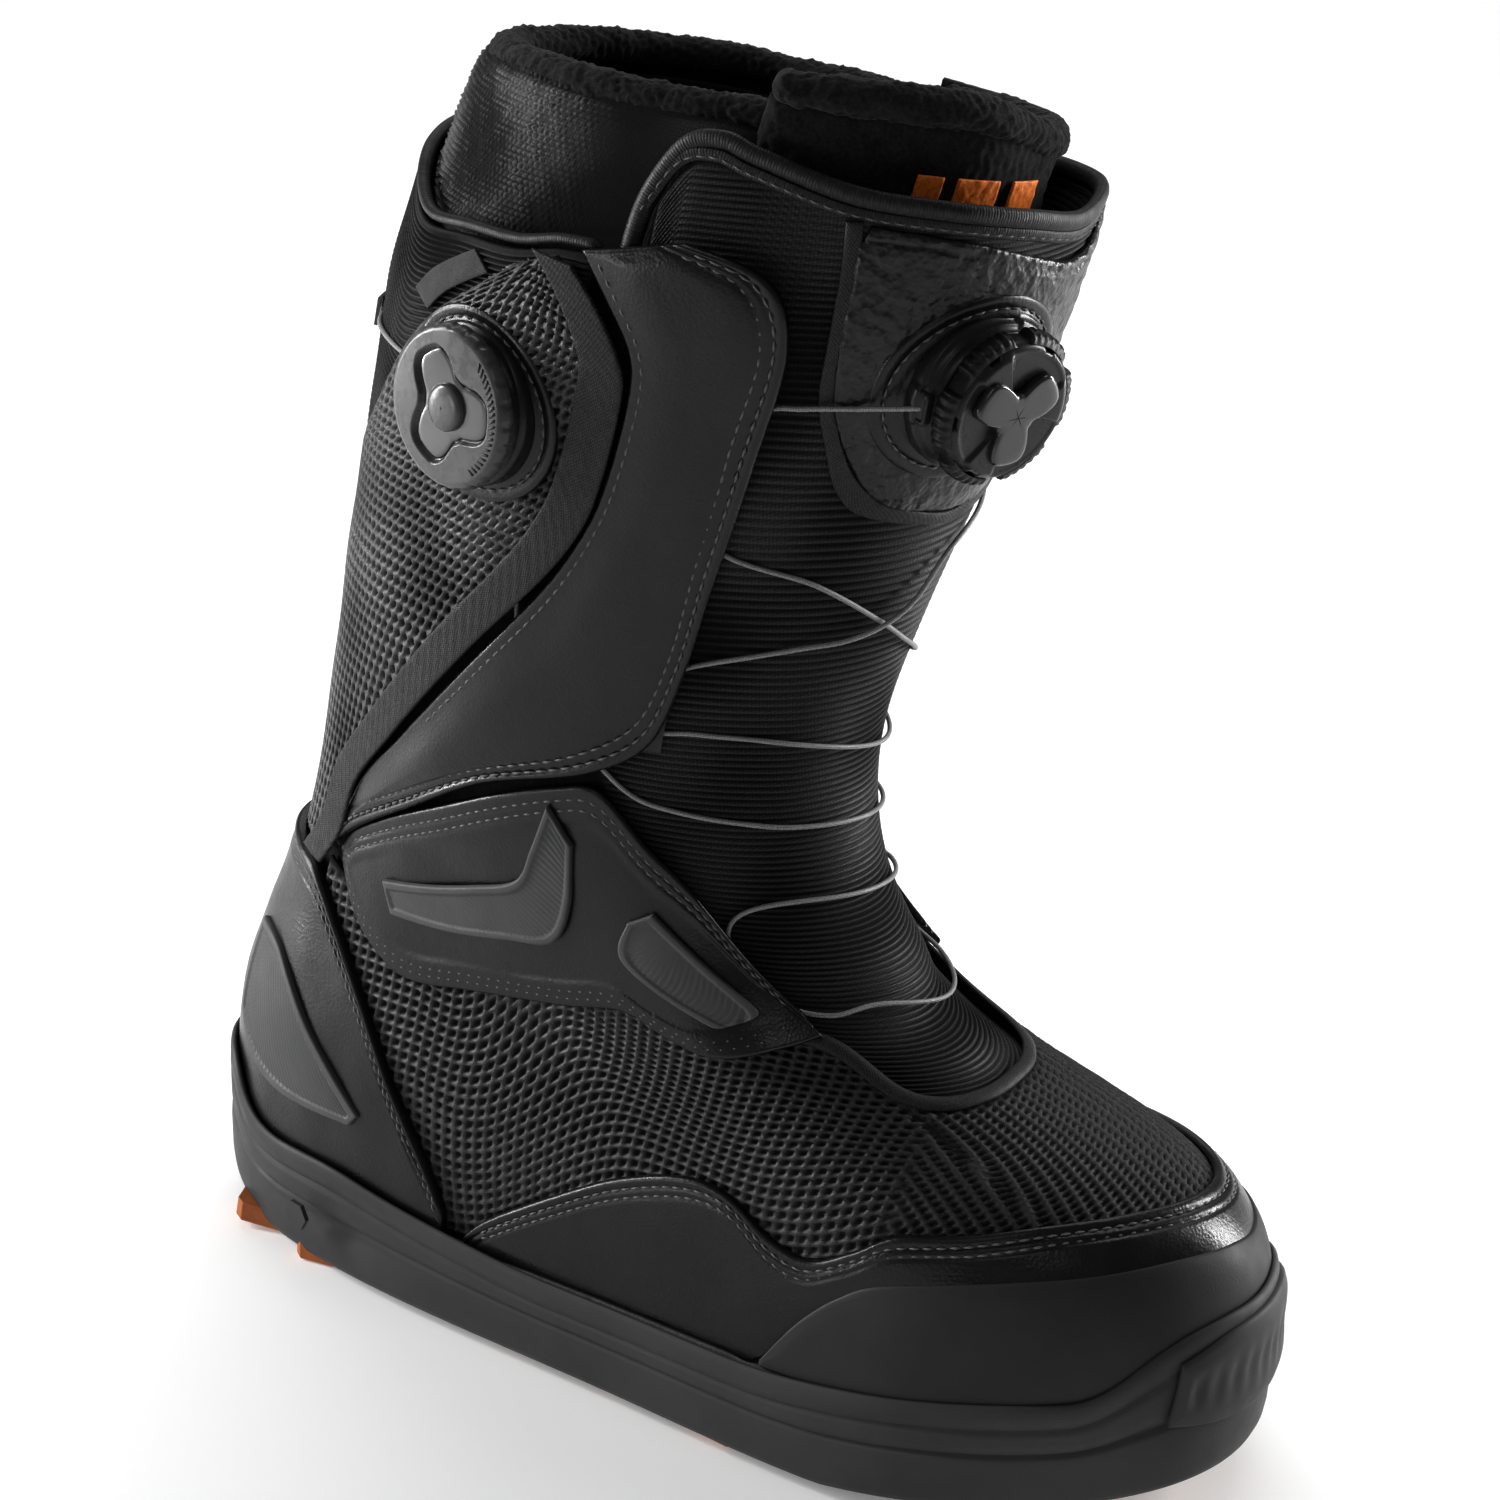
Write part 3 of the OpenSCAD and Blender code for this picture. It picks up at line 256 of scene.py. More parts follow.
class Panel:
    """A panel of the upper: a sheet over the skin between two edge lines a and b of [s, t].

    res is the face size along the panel and res_v across it, thick the panel's thickness, off the height of its
    underside over the skin, edge the radius of its rounded border and relief(panel) the relief of its face.
    """

    def __init__(self, a, b, res=2.0, thick=1.8, off=0.6, edge=0.7, relief=None, res_v=None):
        a, b = np.asarray(a, float), np.asarray(b, float)
        to3 = lambda q: at(q[:, 0], q[:, 1])
        mid = (a + b) / 2
        length = even(mid, 8, to3)[1]
        span = np.linalg.norm(to3(a) - to3(b), axis=1)
        nu = max(int(length / res), 8)
        nv = max(int(span.max() / (res_v or res)), 4)
        u = even(mid, nu + 1, to3)[0]
        v = np.linspace(0, 1, nv + 1)
        # the outer rows of each border drop from the face to the underside
        e = edge / length
        inner = u[1:-1][(u[1:-1] > 1.5 * e) & (u[1:-1] < 1 - 1.5 * e)]
        u = np.concatenate([[u[0], u[0], u[0] + .3 * e], [u[0] + e], inner,
                            [u[-1] - e], [u[-1] - .3 * e, u[-1], u[-1]]])
        A, B = curve(a, u), curve(b, u)
        width = np.maximum(np.linalg.norm(to3(A) - to3(B), axis=1), 0.5)
        e = np.minimum(edge / width, 0.2)[:, None]
        z = np.zeros_like(e)
        V = np.concatenate([z, z, .3 * e, e, v[1:-1][None] * (1 - 2 * e) + e, 1 - e, 1 - .3 * e, 1 - z, 1 - z], 1)
        du, dv = np.zeros(len(u)), np.zeros(V.shape[1])
        for d in (du, dv):
            d[[0, -1]], d[[1, -2]], d[[2, -3]] = thick, edge, .3 * edge
        G = A[:, None] + (B - A)[:, None] * V[..., None]
        self.s, self.t = G[..., 0], G[..., 1]
        p, n, _, _ = skin(self.s, self.t)
        self.p, self.U, self.V = p, *mm_uv(p)
        # distances in millimetres from edge a, from edge b and from the nearest border
        self.width = width[:, None]
        self.da, self.db = V * self.width, (1 - V) * self.width
        ends = np.minimum(u, 1 - u)[:, None] * length
        self.dist = np.minimum(np.minimum(self.da, self.db), ends)
        o = off(self.s, self.t) if callable(off) else off
        self.h = relief(self) if relief else np.zeros_like(self.s)
        drop = np.maximum(du[:, None], dv[None])
        fade = drop < thick * 0.99
        self.P = p + n * (o + thick + np.where(fade, self.h - drop, -drop))[..., None]

    def make(self, name, mat, node=None, back=False):
        f = quads(*self.s.shape, flipped=turned(self.s, self.t))
        ob = put(name, self.P, f, np.stack([self.U, self.V], -1), mat, "boot", node, relief=self.h)
        if back:
            thicken(ob, back)
        return ob


def inset(a, b, side, d, u0=0.0, u1=1.0, n=400):
    """Line of [s, t] at distance d inside edge a (side 0) or b (side 1)."""
    u = np.linspace(u0, u1, n)
    A, B = curve(a, u), curve(b, u)
    w = np.linalg.norm(at(A[:, 0], A[:, 1]) - at(B[:, 0], B[:, 1]), axis=1)
    v = (d / np.maximum(w, d * 2.05))[:, None]
    return A + (B - A) * v if side == 0 else B + (A - B) * v


def st_line(q, o, n):
    """n even points along a line of [s, t] lifted by o, and their normals."""
    u, l = even(q, n, lambda x: at(x[:, 0], x[:, 1]))
    c = curve(q, u)
    oo = o(c[:, 0], c[:, 1]) if callable(o) else np.full(len(c), float(o))
    p, nn, _, _ = skin(c[:, 0], c[:, 1])
    return p + nn * oo[:, None], nn, l


def tube(name, p, n, ru, rv, mat, sides=12, body="boot", node=None, twist=0.0, lobes=0, lobe=0.0):
    """A round or flat tube along points p with normals n: half width ru along the surface, rv off it.

    A braid has lobes strands that stand out by the share lobe and turn by twist radians a millimetre.
    """
    p, n = np.asarray(p, float), np.asarray(n, float)
    d = np.gradient(p, axis=0)
    d /= np.linalg.norm(d, axis=1, keepdims=True) + 1e-9
    x = np.cross(n, d)
    x /= np.linalg.norm(x, axis=1, keepdims=True) + 1e-9
    y = np.cross(d, x)
    l = run(p)
    a = np.arange(sides) * PI2 / sides
    k = np.ones((len(p), sides))
    if lobes:
        k += lobe * np.abs(np.sin(lobes / 2 * (a[None] + twist * l[:, None])))
    for i, f in ((0, .15), (1, .7), (-1, .15), (-2, .7)):
        k[i] *= f
    c = np.cos(a)[None, :, None] * x[:, None] * (ru * k)[..., None]
    s = np.sin(a)[None, :, None] * y[:, None] * (rv * k)[..., None]
    P = p[:, None] + c + s
    uv = np.stack([np.repeat(l[:, None], sides, 1), np.repeat((a * max(ru, rv))[None], len(p), 0)], -1)
    return put(name, P, quads(len(p), sides, close_v=True, flipped=True), uv, mat, body, node)


def stitches(name, lines, off, mat, pitch=3.4, long=2.5, r=0.4):
    """Rows of thread stitches of length long and thread radius r along lines of [s, t]."""
    grids = []
    ring = np.array([0, .62, 1, .62, 0])
    ang = np.arange(6) * PI2 / 6
    z = np.linspace(-.5, .5, 5) * long
    for q in lines:
        n = max(int(even(q, 8, lambda x: at(x[:, 0], x[:, 1]))[1] / pitch), 2)
        p, nn, _ = st_line(q, off, 2 * n + 1)
        for i in range(n):
            a, b = p[2 * i], p[2 * i + 2]
            N = nn[2 * i + 1]
            d = b - a
            d /= np.linalg.norm(d) + 1e-9
            x = np.cross(N, d)
            c = (a + b) / 2 + z[:, None] * d + ((ring - 1) * 0.28)[:, None] * N
            grids.append(c[:, None] + ((np.cos(ang)[None, :, None] * x + np.sin(ang)[None, :, None] * N)
                                       * (r * (0.35 + 0.65 * ring))[:, None, None]))
    return put_grids(name, grids, mat, close_v=True, flipped=True)


# ------------------------------------------------------------------ materials
def material(name, color, rough=0.6, spec=0.5, coat=0.0, sheen=0.0):
    m = bpy.data.materials.new(name)
    m.use_nodes = True
    b = m.node_tree.nodes["Principled BSDF"]
    for k, v in {"Base Color": (*color, 1), "Roughness": rough, "Specular IOR Level": spec, "Coat Weight": coat,
                 "Coat Roughness": 0.25, "Sheen Weight": sheen, "Sheen Roughness": 0.5}.items():
        b.inputs[k].default_value = v
    return m


class Nodes:
    """Adds linked shader nodes to a material; sizes and depths are in millimetres."""

    def __init__(self, m):
        self.t = m.node_tree
        self.b = self.t.nodes["Principled BSDF"]

    def new(self, kind, inputs, **values):
        """A node whose inputs take a number or the output of another node."""
        n = self.t.nodes.new("ShaderNode" + kind)
        for k, v in values.items():
            setattr(n, k, v)
        for k, v in inputs.items():
            if isinstance(v, bpy.types.NodeSocket):
                self.t.links.new(v, n.inputs[k])
            else:
                n.inputs[k].default_value = v
        return n

    def coords(self, kind="Object"):
        return self.new("TexCoord", {}).outputs[kind]

    def noise(self, size, detail=3.0, rough=0.55):
        return self.new("TexNoise", {"Scale": 1000 / size, "Detail": detail, "Roughness": rough,
                                     "Vector": self.coords()}).outputs["Fac"]

    def ramp(self, fac, stops):
        n = self.new("ValToRGB", {"Fac": fac})
        e = n.color_ramp.elements
        while len(e) < len(stops):
            e.new(0.5)
        for i, (x, c) in enumerate(stops):
            e[i].position, e[i].color = x, (*c, 1)
        return n.outputs["Color"]

    def mottle(self, size, detail, low, high, a=0.3, b=0.7):
        """Base colour that drifts between low and high."""
        self.color(self.ramp(self.noise(size, detail), [(a, low), (b, high)]))

    def math(self, op, a, b):
        return self.new("Math", {0: a, 1: b}, operation=op).outputs[0]

    def remap(self, fac, a, b, lo, hi):
        return self.new("MapRange", {"From Min": a, "From Max": b, "To Min": lo, "To Max": hi,
                                     "Value": fac}).outputs["Result"]

    def bump(self, height, depth, prev=None):
        inputs = {"Strength": 1.0, "Distance": depth * MM, "Height": height}
        if prev:
            inputs["Normal"] = prev
        return self.new("Bump", inputs).outputs["Normal"]

    def normal(self, v):
        self.t.links.new(v, self.b.inputs["Normal"])

    def rough(self, v):
        self.t.links.new(v, self.b.inputs["Roughness"])

    def color(self, v):
        self.t.links.new(v, self.b.inputs["Base Color"])


def grey(v, blue=1.0):
    return v, v, v * blue


def make_leather(name, base, rough, grain, depth, coat=0.0, spec=0.3):
    """Leather with grain cells of a size and depth, fine pores and soft dents."""
    m = material(name, grey(base, 1.04), rough, spec, coat)
    k = Nodes(m)
    cells = k.new("TexVoronoi", {"Scale": 1000 / grain, "Vector": k.coords()}).outputs["Distance"]
    k.mottle(28, 3, grey(base * 0.75, 1.04), grey(base * 1.35, 1.04))
    k.rough(k.remap(k.noise(9, 4), 0.25, 0.75, rough - 0.07, rough + 0.1))
    pores = k.bump(k.noise(0.35, 2), depth * 0.25, k.bump(cells, depth))
    k.normal(k.bump(k.noise(16, 2), 0.35, pores))
    return m


def make_rubber(name, base, rough, speck=0.05):
    m = material(name, grey(base, 1.02), rough, 0.25)
    k = Nodes(m)
    k.mottle(40, 4, grey(base * 0.85, 1.02), grey(base * 1.2, 1.02))
    k.rough(k.remap(k.noise(6, 5), 0.3, 0.7, rough - 0.05, rough + 0.08))
    k.normal(k.bump(k.noise(0.5, 2), speck, k.bump(k.noise(22, 2), 0.15)))
    return m


def make_cloth(name, base, size_u, size_v, depth, rough=0.85, sheen=0.25, crest_highlight=1.6, slant=0.0, relief_shading=None,
               spec=0.3):
    """Woven cloth: thread crossings of size_u by size_v millimetres.

    The relief shading tuple (low, high, dark, light) paints shade into the hollows of the relief and a highlight onto
    its ridges, scaling the colour from dark to light between the relief heights low and high.
    """
    m = material(name, grey(base), rough, spec, 0, sheen)
    k = Nodes(m)
    vec = k.new("Mapping", {"Scale": (1 / UV_SCALE / size_u, 1 / UV_SCALE / size_v, 1), "Rotation": (0, 0, slant),
                            "Vector": k.coords("UV")}).outputs["Vector"]
    d = k.new("TexVoronoi", {"Scale": 1.0, "Randomness": 0.25, "Vector": vec}).outputs["Distance"]
    # painted highlight on the middle of each thread crossing, fading to painted shade in the gaps, following the bump
    c = k.ramp(d, [(0.1, grey(base * crest_highlight)), (0.55, grey(base * 0.55))])
    if relief_shading:
        # painted shade in the hollows and painted highlight on the ridges, read from the relief height
        low, high, hollow_shade, light = relief_shading
        a = k.new("Attribute", {}, attribute_name="relief").outputs["Fac"]
        c = k.new("VectorMath", {0: c, "Scale": k.remap(a, low, high, hollow_shade, light)},
                  operation="SCALE").outputs["Vector"]
        k.rough(k.remap(a, low, high, 0.95, rough))
    else:
        k.rough(k.remap(k.noise(3, 2), 0.3, 0.7, rough - 0.1, rough + 0.05))
    k.color(c)
    k.normal(k.bump(k.math("SUBTRACT", 1.0, d), depth))
    return m


def make_pile(name, base, size, depth, rough=0.95, sheen=0.6, crest_highlight=1.5):
    m = material(name, grey(base), rough, 0.1, 0, sheen)
    k = Nodes(m)
    a = k.noise(size, 4, 0.7)
    b = k.noise(size * 6, 3)
    mix = k.math("ADD", k.math("MULTIPLY", a, 0.65), k.math("MULTIPLY", b, 0.35))
    # the pile's tone follows its bump: painted highlight on the raised pile and painted shade in its dips
    k.color(k.ramp(mix, [(0.35, grey(base * 0.5)), (0.66, grey(base * crest_highlight))]))
    k.normal(k.bump(a, depth, k.bump(b, depth * 1.5)))
    return m


def make_plastic(name, base, rough, spec=0.35, coat=0.0):
    m = material(name, grey(base, 1.03), rough, spec, coat)
    k = Nodes(m)
    k.mottle(12, 3, grey(base * 0.85, 1.03), grey(base * 1.15, 1.03))
    k.rough(k.remap(k.noise(3, 4), 0.3, 0.7, max(rough - 0.06, 0.05), rough + 0.08))
    k.normal(k.bump(k.noise(0.4, 2), 0.012))
    return m


def make_orange(name, color, rough, spec, size, detail, low, high, top, grain, depth):
    m = material(name, color, rough, spec)
    k = Nodes(m)
    k.mottle(size, detail, low, high, 0.3, top)
    k.normal(k.bump(k.noise(grain, 2), depth))
    return m


LEATHER = make_leather("leather_smooth", 0.005, 0.30, 0.8, 0.05, 0.0, 0.42)
LEATHER_SHINY = make_leather("leather_glossy", 0.005, 0.26, 0.9, 0.05, 0.05, 0.45)
PEBBLE = make_leather("leather_pebbled", 0.007, 0.31, 1.5, 0.20, 0.0, 0.45)
RUBBER = make_rubber("rubber_sole", 0.050, 0.52)
RAND = make_rubber("rubber_rand", 0.032, 0.52)
INLAY = make_rubber("rubber_inlay", 0.075, 0.48)
LUG = make_rubber("rubber_lug", 0.016, 0.65)
ORANGE = make_orange("rubber_orange", (0.36, 0.12, 0.04), 0.6, 0.3, 8, 4, (0.28, 0.09, 0.03), (0.43, 0.15, 0.05),
                     0.7, 0.6, 0.06)
# In the cloths, the four numbers after the slant paint shade into the hollows of the relief and highlights onto its
# ridges.
# In the cloths, the number before the slant brightens each thread crossing as a painted highlight.
WAFFLE = make_cloth("mesh_waffle", 0.010, 0.55, 0.55, 0.08, 0.42, 0.0, 1.5, 0, (-.65, .5, .03, 4.2), 0.4)
SPACER = make_cloth("mesh_spacer", 0.010, 0.5, 0.9, 0.10, 0.38, 0.0, 1.5, 0.5, (-.9, .3, .03, 4.0), 0.4)
WEAVE = make_cloth("weave_ballistic", 0.008, 0.9, 0.7, 0.10, 0.5, 0.0, 1.9, 0, (-.3, .35, .25, 2.8), 0.3)
ELASTIC = make_cloth("elastic_ribbed", 0.009, 0.9, 0.6, 0.08, 0.6, 0.0, 1.8, 0, (-.4, .4, .3, 1.8), 0.2)
TAPE = make_cloth("tape_woven", 0.016, 0.8, 0.5, 0.12, 0.55, 0.0, 2.8, 0.6, None, 0.3)
GROSGRAIN = make_cloth("tape_grosgrain", 0.014, 0.7, 3.0, 0.18, 0.5, 0.0, 2.4, 0, None, 0.3)
KNIT = make_cloth("knit_knobbly", 0.010, 0.8, 0.8, 0.10, 0.55, 0.0, 1.7, 0, (0.1, 0.9, .2, 3.4), 0.35)
# In the piles, the last number lightens the raised pile as a painted highlight.
BRUSHED = make_pile("brushed_fabric", 0.012, 0.9, 0.12, 0.95, 0.05, 2.2)
FLEECE = make_pile("fleece_pile", 0.014, 1.1, 0.30, 1.0, 0.08, 2.2)
THREAD = make_cloth("thread_black", 0.085, 0.3, 0.3, 0.05, 0.5, 0.0, 2.0)
THREAD_GREY = make_cloth("thread_grey", 0.10, 0.3, 0.3, 0.05, 0.6, 0.0, 1.8)
LACE = make_cloth("lace_braid", 0.22, 0.35, 0.35, 0.06, 0.42, 0.0, 2.2)
DIAL = make_plastic("plastic_satin", 0.016, 0.30)
GRIP = make_plastic("rubber_grip", 0.008, 0.42)
GLOSS = make_plastic("plastic_gloss", 0.022, 0.14, 0.5, 0.5)
GREY = make_plastic("plastic_grey", 0.075, 0.28)
STEEL = make_plastic("steel_screw", 0.5, 0.3)
STEEL.node_tree.nodes["Principled BSDF"].inputs["Metallic"].default_value = 1.0
WOVEN_LABEL = make_cloth("label_woven", 0.04, 0.5, 0.5, 0.06, 0.8, 0.05, 1.8)
FOAM = make_pile("foam_grey", 0.06, 0.8, 0.05, 0.9, 0.0, 1.3)
BOARD = make_pile("fibre_board", 0.2, 1.0, 0.05, 0.8, 0.0, 1.3)
ORANGE_PRINT = make_orange("print_orange", (0.80, 0.20, 0.02), 0.55, 0.4, 1.0, 3, (0.62, 0.14, 0.015),
                           (0.86, 0.25, 0.03), 0.6, 0.7, 0.08)


# CAD nodes that are shown as they are, with no visual piece over them.
for _n, _m in {"sole_side_plug": RUBBER, "midsole": FOAM, "lasting_board": BOARD, "shank": GREY,
               "footbed": BRUSHED, "heel_harness": WEAVE, "lace_guides_lateral": TAPE,
               "lace_guides_medial": TAPE, "rear_lace_guide": GLOSS, "front_dial_screw": STEEL,
               "side_dial_screw": STEEL, "front_dial_spool": GREY, "side_dial_spool": GREY}.items():
    _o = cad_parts[_n]
    _o.data.materials.clear()
    _o.data.materials.append(_m)

# ------------------------------------------------------------------ sole unit
# Height of the sole's upper edge (t) by distance from the heel line (s), the same on both sides.
TOP = np.array([(0, .09), (.03, .09), (.06, .08), (.08, .04), (.1, .028), (.14, .034), (.18, .017), (.22, .002),
    (.3, 0), (.34, .016), (.37, .03), (.41, .045), (.425, .08), (.445, .105), (.47, .115), (.5, .115)])
SOLE_Z = 6.0  # underside of the sole between the lugs, above the ground


def sole_top(s):
    k = sum(np.interp(np.minimum((s + d) % 1, 1 - (s + d) % 1), TOP[:, 0], TOP[:, 1])
            for d in (-.009, -.0045, 0, .0045, .009))
    return k / 5


def plane_z(x):
    """Height of the foot plane, where the skin starts."""
    return 25 + (x + 149) * 7 / 294


def floor_z(x):
    """Underside of the sole, raised at the heel and the toe."""
    return SOLE_Z + np.where(x < -115, .0065 * (x + 115)**2, 0) + np.where(
        x > 60, .13 * (x - 60) + .0004 * (x - 60)**2, 0)


def with_z(p, z):
    q = p.copy()
    q[:, 2] = z
    return q


def ring_s(n):
    """n values of s round the boot, closer together at the heel and the toe."""
    i = np.arange(n) / n
    return i - .03 * np.sin(4 * math.pi * i)


def build_outsole():
    n = 288
    s = ring_s(n)
    base = lambda o: at(s, np.zeros(n), o)

    def edge(d, o):
        t = sole_top(s) - d
        p = at(s, np.maximum(t, 0), o)
        p[:, 2] += np.minimum(t, 0) * 300
        return p

    b0 = base(0)
    rows = []
    for k in (.03, .2, .4, .6, .78, .92):
        q = b0 * [k, k * .62, 1]
        rows.append(with_z(q, floor_z(q[:, 0])))
    # the lip round the bottom, then the side wall with its grooves
    for o, dz in ((-1, 0), (-.2, -.6), (.4, -2.3), (1.1, -3.0), (2.2, -3.2), (3.3, -2.6), (4.1, -.8), (4.5, 2),
                  (4.7, 7.6)):
        q = base(o)
        rows.append(with_z(q, floor_z(q[:, 0]) + dz))
    low, high = rows[-1], edge(.02, 4.9)
    _, nn, _, _ = skin(s, np.zeros(n))
    nn = nn * [1, 1, 0]
    heel = np.exp(-((low[:, 0] + 96) / 26)**2)[:, None]
    for f, d in ((.12, .1), (.24, 0), (.3, -.15), (.335, -1.0), (.375, -1.0), (.41, -.1), (.55, .05), (.7, .1),
                 (.8, .1), (.85, -.5), (.89, -.5), (.93, .2)):
        dip = heel * 1.5 * math.exp(-((f - .18) / .12)**2)
        rows.append(low + (high - low) * f + nn * (d - dip))
    rows += [edge(.012, 5.1), edge(.005, 5.0), edge(.001, 4.5), edge(0, 3.9), edge(.002, 3.4), edge(.012, 3.0)]
    for q in (base(2.9), base(-3)):
        rows.append(with_z(q, plane_z(q[:, 0]) - 2.5))
    P = np.stack(rows, 1)
    v = np.cumsum(np.concatenate([[0], np.linalg.norm(np.diff(P, axis=1), axis=2).mean(0)]))
    uv = np.stack(np.broadcast_arrays(run(b0)[:, None], v[None]), -1)
    put("outsole_cup", P, quads(n, len(rows), close_u=True, flipped=True), uv, RUBBER, "boot", "outsole")


def prism(outline, levels):
    """Rings of an outline at (inset, height) levels."""
    o = np.asarray(outline, float)
    c = o.mean(0)
    r = np.linalg.norm(o - c, axis=1, keepdims=True)
    rings = [np.concatenate([c + (o - c) * np.maximum(1 - d / r, .02), np.full((len(o), 1), z)], 1)
             for d, z in levels]
    return np.stack(rings, 1)


# Each lug or pair of lugs: x, y, length, width, turn in degrees.
LUGS_O = [(-127, 26, 17, 12, -18), (-104, 31, 15, 13, -8), (-34, 33, 16, 13, 4), (-4, 36, 15, 13, 6),
          (28, 42, 16, 14, 8), (118, 22, 22, 13, -28), (135, 0, 12, 22, 0)]
LUGS_B = [(-66, 32, 18, 12, 2), (55, 43, 16, 14, 2), (84, 38, 18, 13, -12), (-116, 0, 14, 20, 0), (-88, 0, 12, 24, 0),
    (-60, 0, 12, 16, 0), (-30, 0, 14, 16, 0), (0, 0, 14, 24, 0), (28, 0, 14, 28, 0), (56, 0, 14, 30, 0),
    (82, 0, 14, 28, 0), (106, 0, 12, 22, 0)]


def build_lugs(name, lugs, mat, slot):
    grids = []
    for x, y, l, w, turn in lugs:
        for side in ([1] if y == 0 else [-1, 1]):
            o = [(-l / 2, 2 - w / 2), (2 - l / 2, -w / 2), (l / 2 - 3, -w / 2), (l / 2, 0), (l / 2 - 3, w / 2),
                 (2 - l / 2, w / 2), (-l / 2, w / 2 - 2)]
            h = SOLE_Z + .3
            P = prism(o, [(9, .5), (3.2, .5), (2.6, 0), (.9, 0), (.25, .35), (0, 1.0), (0, h), (20, h)])
            sl = (floor_z(np.array(x + 5.)) - floor_z(np.array(x - 5.))) / 10
            a, b = math.radians(side * turn), -math.atan(float(sl))
            z0 = float(floor_z(np.array(float(x)))) - .35
            P = P + [0, 0, .35 - SOLE_Z]
            ca, sa = math.cos(a), math.sin(a)
            P = P @ np.array([[ca, sa, 0], [-sa, ca, 0], [0, 0, 1]])
            cb, sb = math.cos(b), math.sin(b)
            P = P @ np.array([[cb, 0, -sb], [0, 1, 0], [sb, 0, cb]]) + [x, side * y, z0]
            grids.append(P)
    ob = put_grids(name, grids, mat, "boot", name.replace("_set", ""), slot, False, close_u=True)
    m = ob.modifiers.new("soft", "BEVEL")
    m.width, m.segments, m.limit_method = .0004, 2, "ANGLE"
    return ob


build_outsole()
build_lugs("sole_lugs_orange_set", LUGS_O, ORANGE, "lug_orange")
build_lugs("sole_lugs_black_set", LUGS_B, LUG, "sole_rubber")


def P2(*q):
    return np.array(q, float)


def both_sides(*q):
    """A line from the medial side to the heel line, and back along the lateral side."""
    return np.concatenate([P2(*q), P2(*q[-2::-1]) * [-1, 1]])


BUMP_A = P2((.44, .014), (.47, .006), (.5, .004), (.53, .006), (.56, .014))
BUMP_B = P2((.444, .08), (.47, .1), (.5, .104), (.53, .1), (.556, .08))


def bumper_relief(k):
    x = smooth(k.dist, 0, 4)
    band = np.exp(-((k.da / k.width - .5) / .2)**2)
    return .5 * x - .9 * band * smooth(k.dist, 3, 6) * (np.cos(k.U * PI2 / 5) * .25 + .75)


Panel(BUMP_A, BUMP_B, .8, 1.3, 5.0, .8, bumper_relief).make("toe_bumper_pad", RUBBER, "toe_bumper")

# ------------------------------------------------------------------ upper
# Edge lines of the panels as points [s, t].
THROAT = P2((.06, .415), (.1, .42), (.14, .4), (.17, .385), (.2, .39), (.25, .42), (.3, .45), (.35, .46), (.397, .44),
    (.41, .39), (.43, .379), (.46, .382), (.5, .386), (.54, .382), (.57, .379), (.59, .39), (.603, .44), (.65, .46),
    (.7, .45), (.75, .42), (.8, .39), (.83, .385), (.86, .4), (.9, .42), (.94, .415))
GUARD_TOP = P2((.196, .014), (.205, .045), (.229, .105), (.249, .149), (.271, .181), (.286, .181), (.299, .145),
    (.312, .135), (.326, .157), (.345, .192), (.37, .207), (.407, .227), (.45, .234), (.49, .228), (.52, .218),
    (.56, .205), (.6, .2), (.64, .192), (.665, .165), (.685, .135), (.7, .145), (.714, .181), (.729, .181),
    (.751, .149), (.771, .105), (.795, .045), (.804, .014))
GUARD_LOW = np.array([(s, 0) for s in GUARD_TOP[:6, 0]] + [
    (.2955, 0), (.3052, .068), (.319, .112), (.3365, .14), (.374, .161), (.4125, .175), (.452, .182),
    (.49, .176), (.52, .165), (.56, .158), (.6, .152), (.641, .144), (.6655, .131), (.683, .104), (.6955, .062),
    (.706, 0)] + [(s, 0) for s in GUARD_TOP[22:, 0]])
RAND_TOP = P2((.298, .004), (.309, .061), (.322, .103), (.338, .13), (.375, .153), (.413, .167), (.452, .174),
    (.49, .168), (.52, .157), (.56, .15), (.6, .144), (.64, .136), (.662, .122), (.678, .1), (.691, .061),
    (.702, .004))
COUNTER = both_sides((-.188, .03), (-.18, .085), (-.166, .156), (-.147, .257), (-.126, .336), (-.1, .395),
                     (-.07, .41), (-.035, .42), (0, .424))


def ground(q):
    """The same line brought down to the sole."""
    return np.stack([q[:, 0], np.zeros(len(q))], 1)


def tri(x):
    """Rounded ridge wave: 1 on the ridge lines, 0 in the cells, period 1."""
    y = np.abs((x + .5) % 1 - .5) * 2
    return 1 - smooth(y, 0.0, .72)


def waffle(k):
    """Square cells between ridges, turning to slanted cells on the toe."""
    slant = .10
    u = k.U + slant * k.V
    v = k.V - slant * .6 * k.U
    toe = smooth(k.p[..., 0], 66, 74)
    a = np.maximum(tri(u / 3.4), tri(v / 3.0))
    r = math.sqrt(.5)
    b = np.maximum(tri((k.U + k.V) * r / 2.9), tri((k.U - k.V) * r / 2.9))
    h = (1 - toe) * a * 1.3 + toe * b * .95
    return h * smooth(k.dist, 0, 4) - .65 + .12 * waves(k.p, 60, 4)


_s = THROAT[(THROAT[:, 0] > .09) & (THROAT[:, 0] < .91)]
_low = np.stack([_s[:, 0], np.maximum(np.interp(_s[:, 0], GUARD_TOP[:, 0], GUARD_TOP[:, 1], 0, 0) - .05, 0)], 1)
Panel(_low, _s, .8, 1.6, -1.6, .5, waffle).make("upper_mesh_waffle", WAFFLE, "upper_mesh", 1.2)
_q, _nn, _ = st_line(THROAT[7:18], .55, 260)
tube("throat_binding", _q, _nn, 2.0, .8, TAPE, 10)


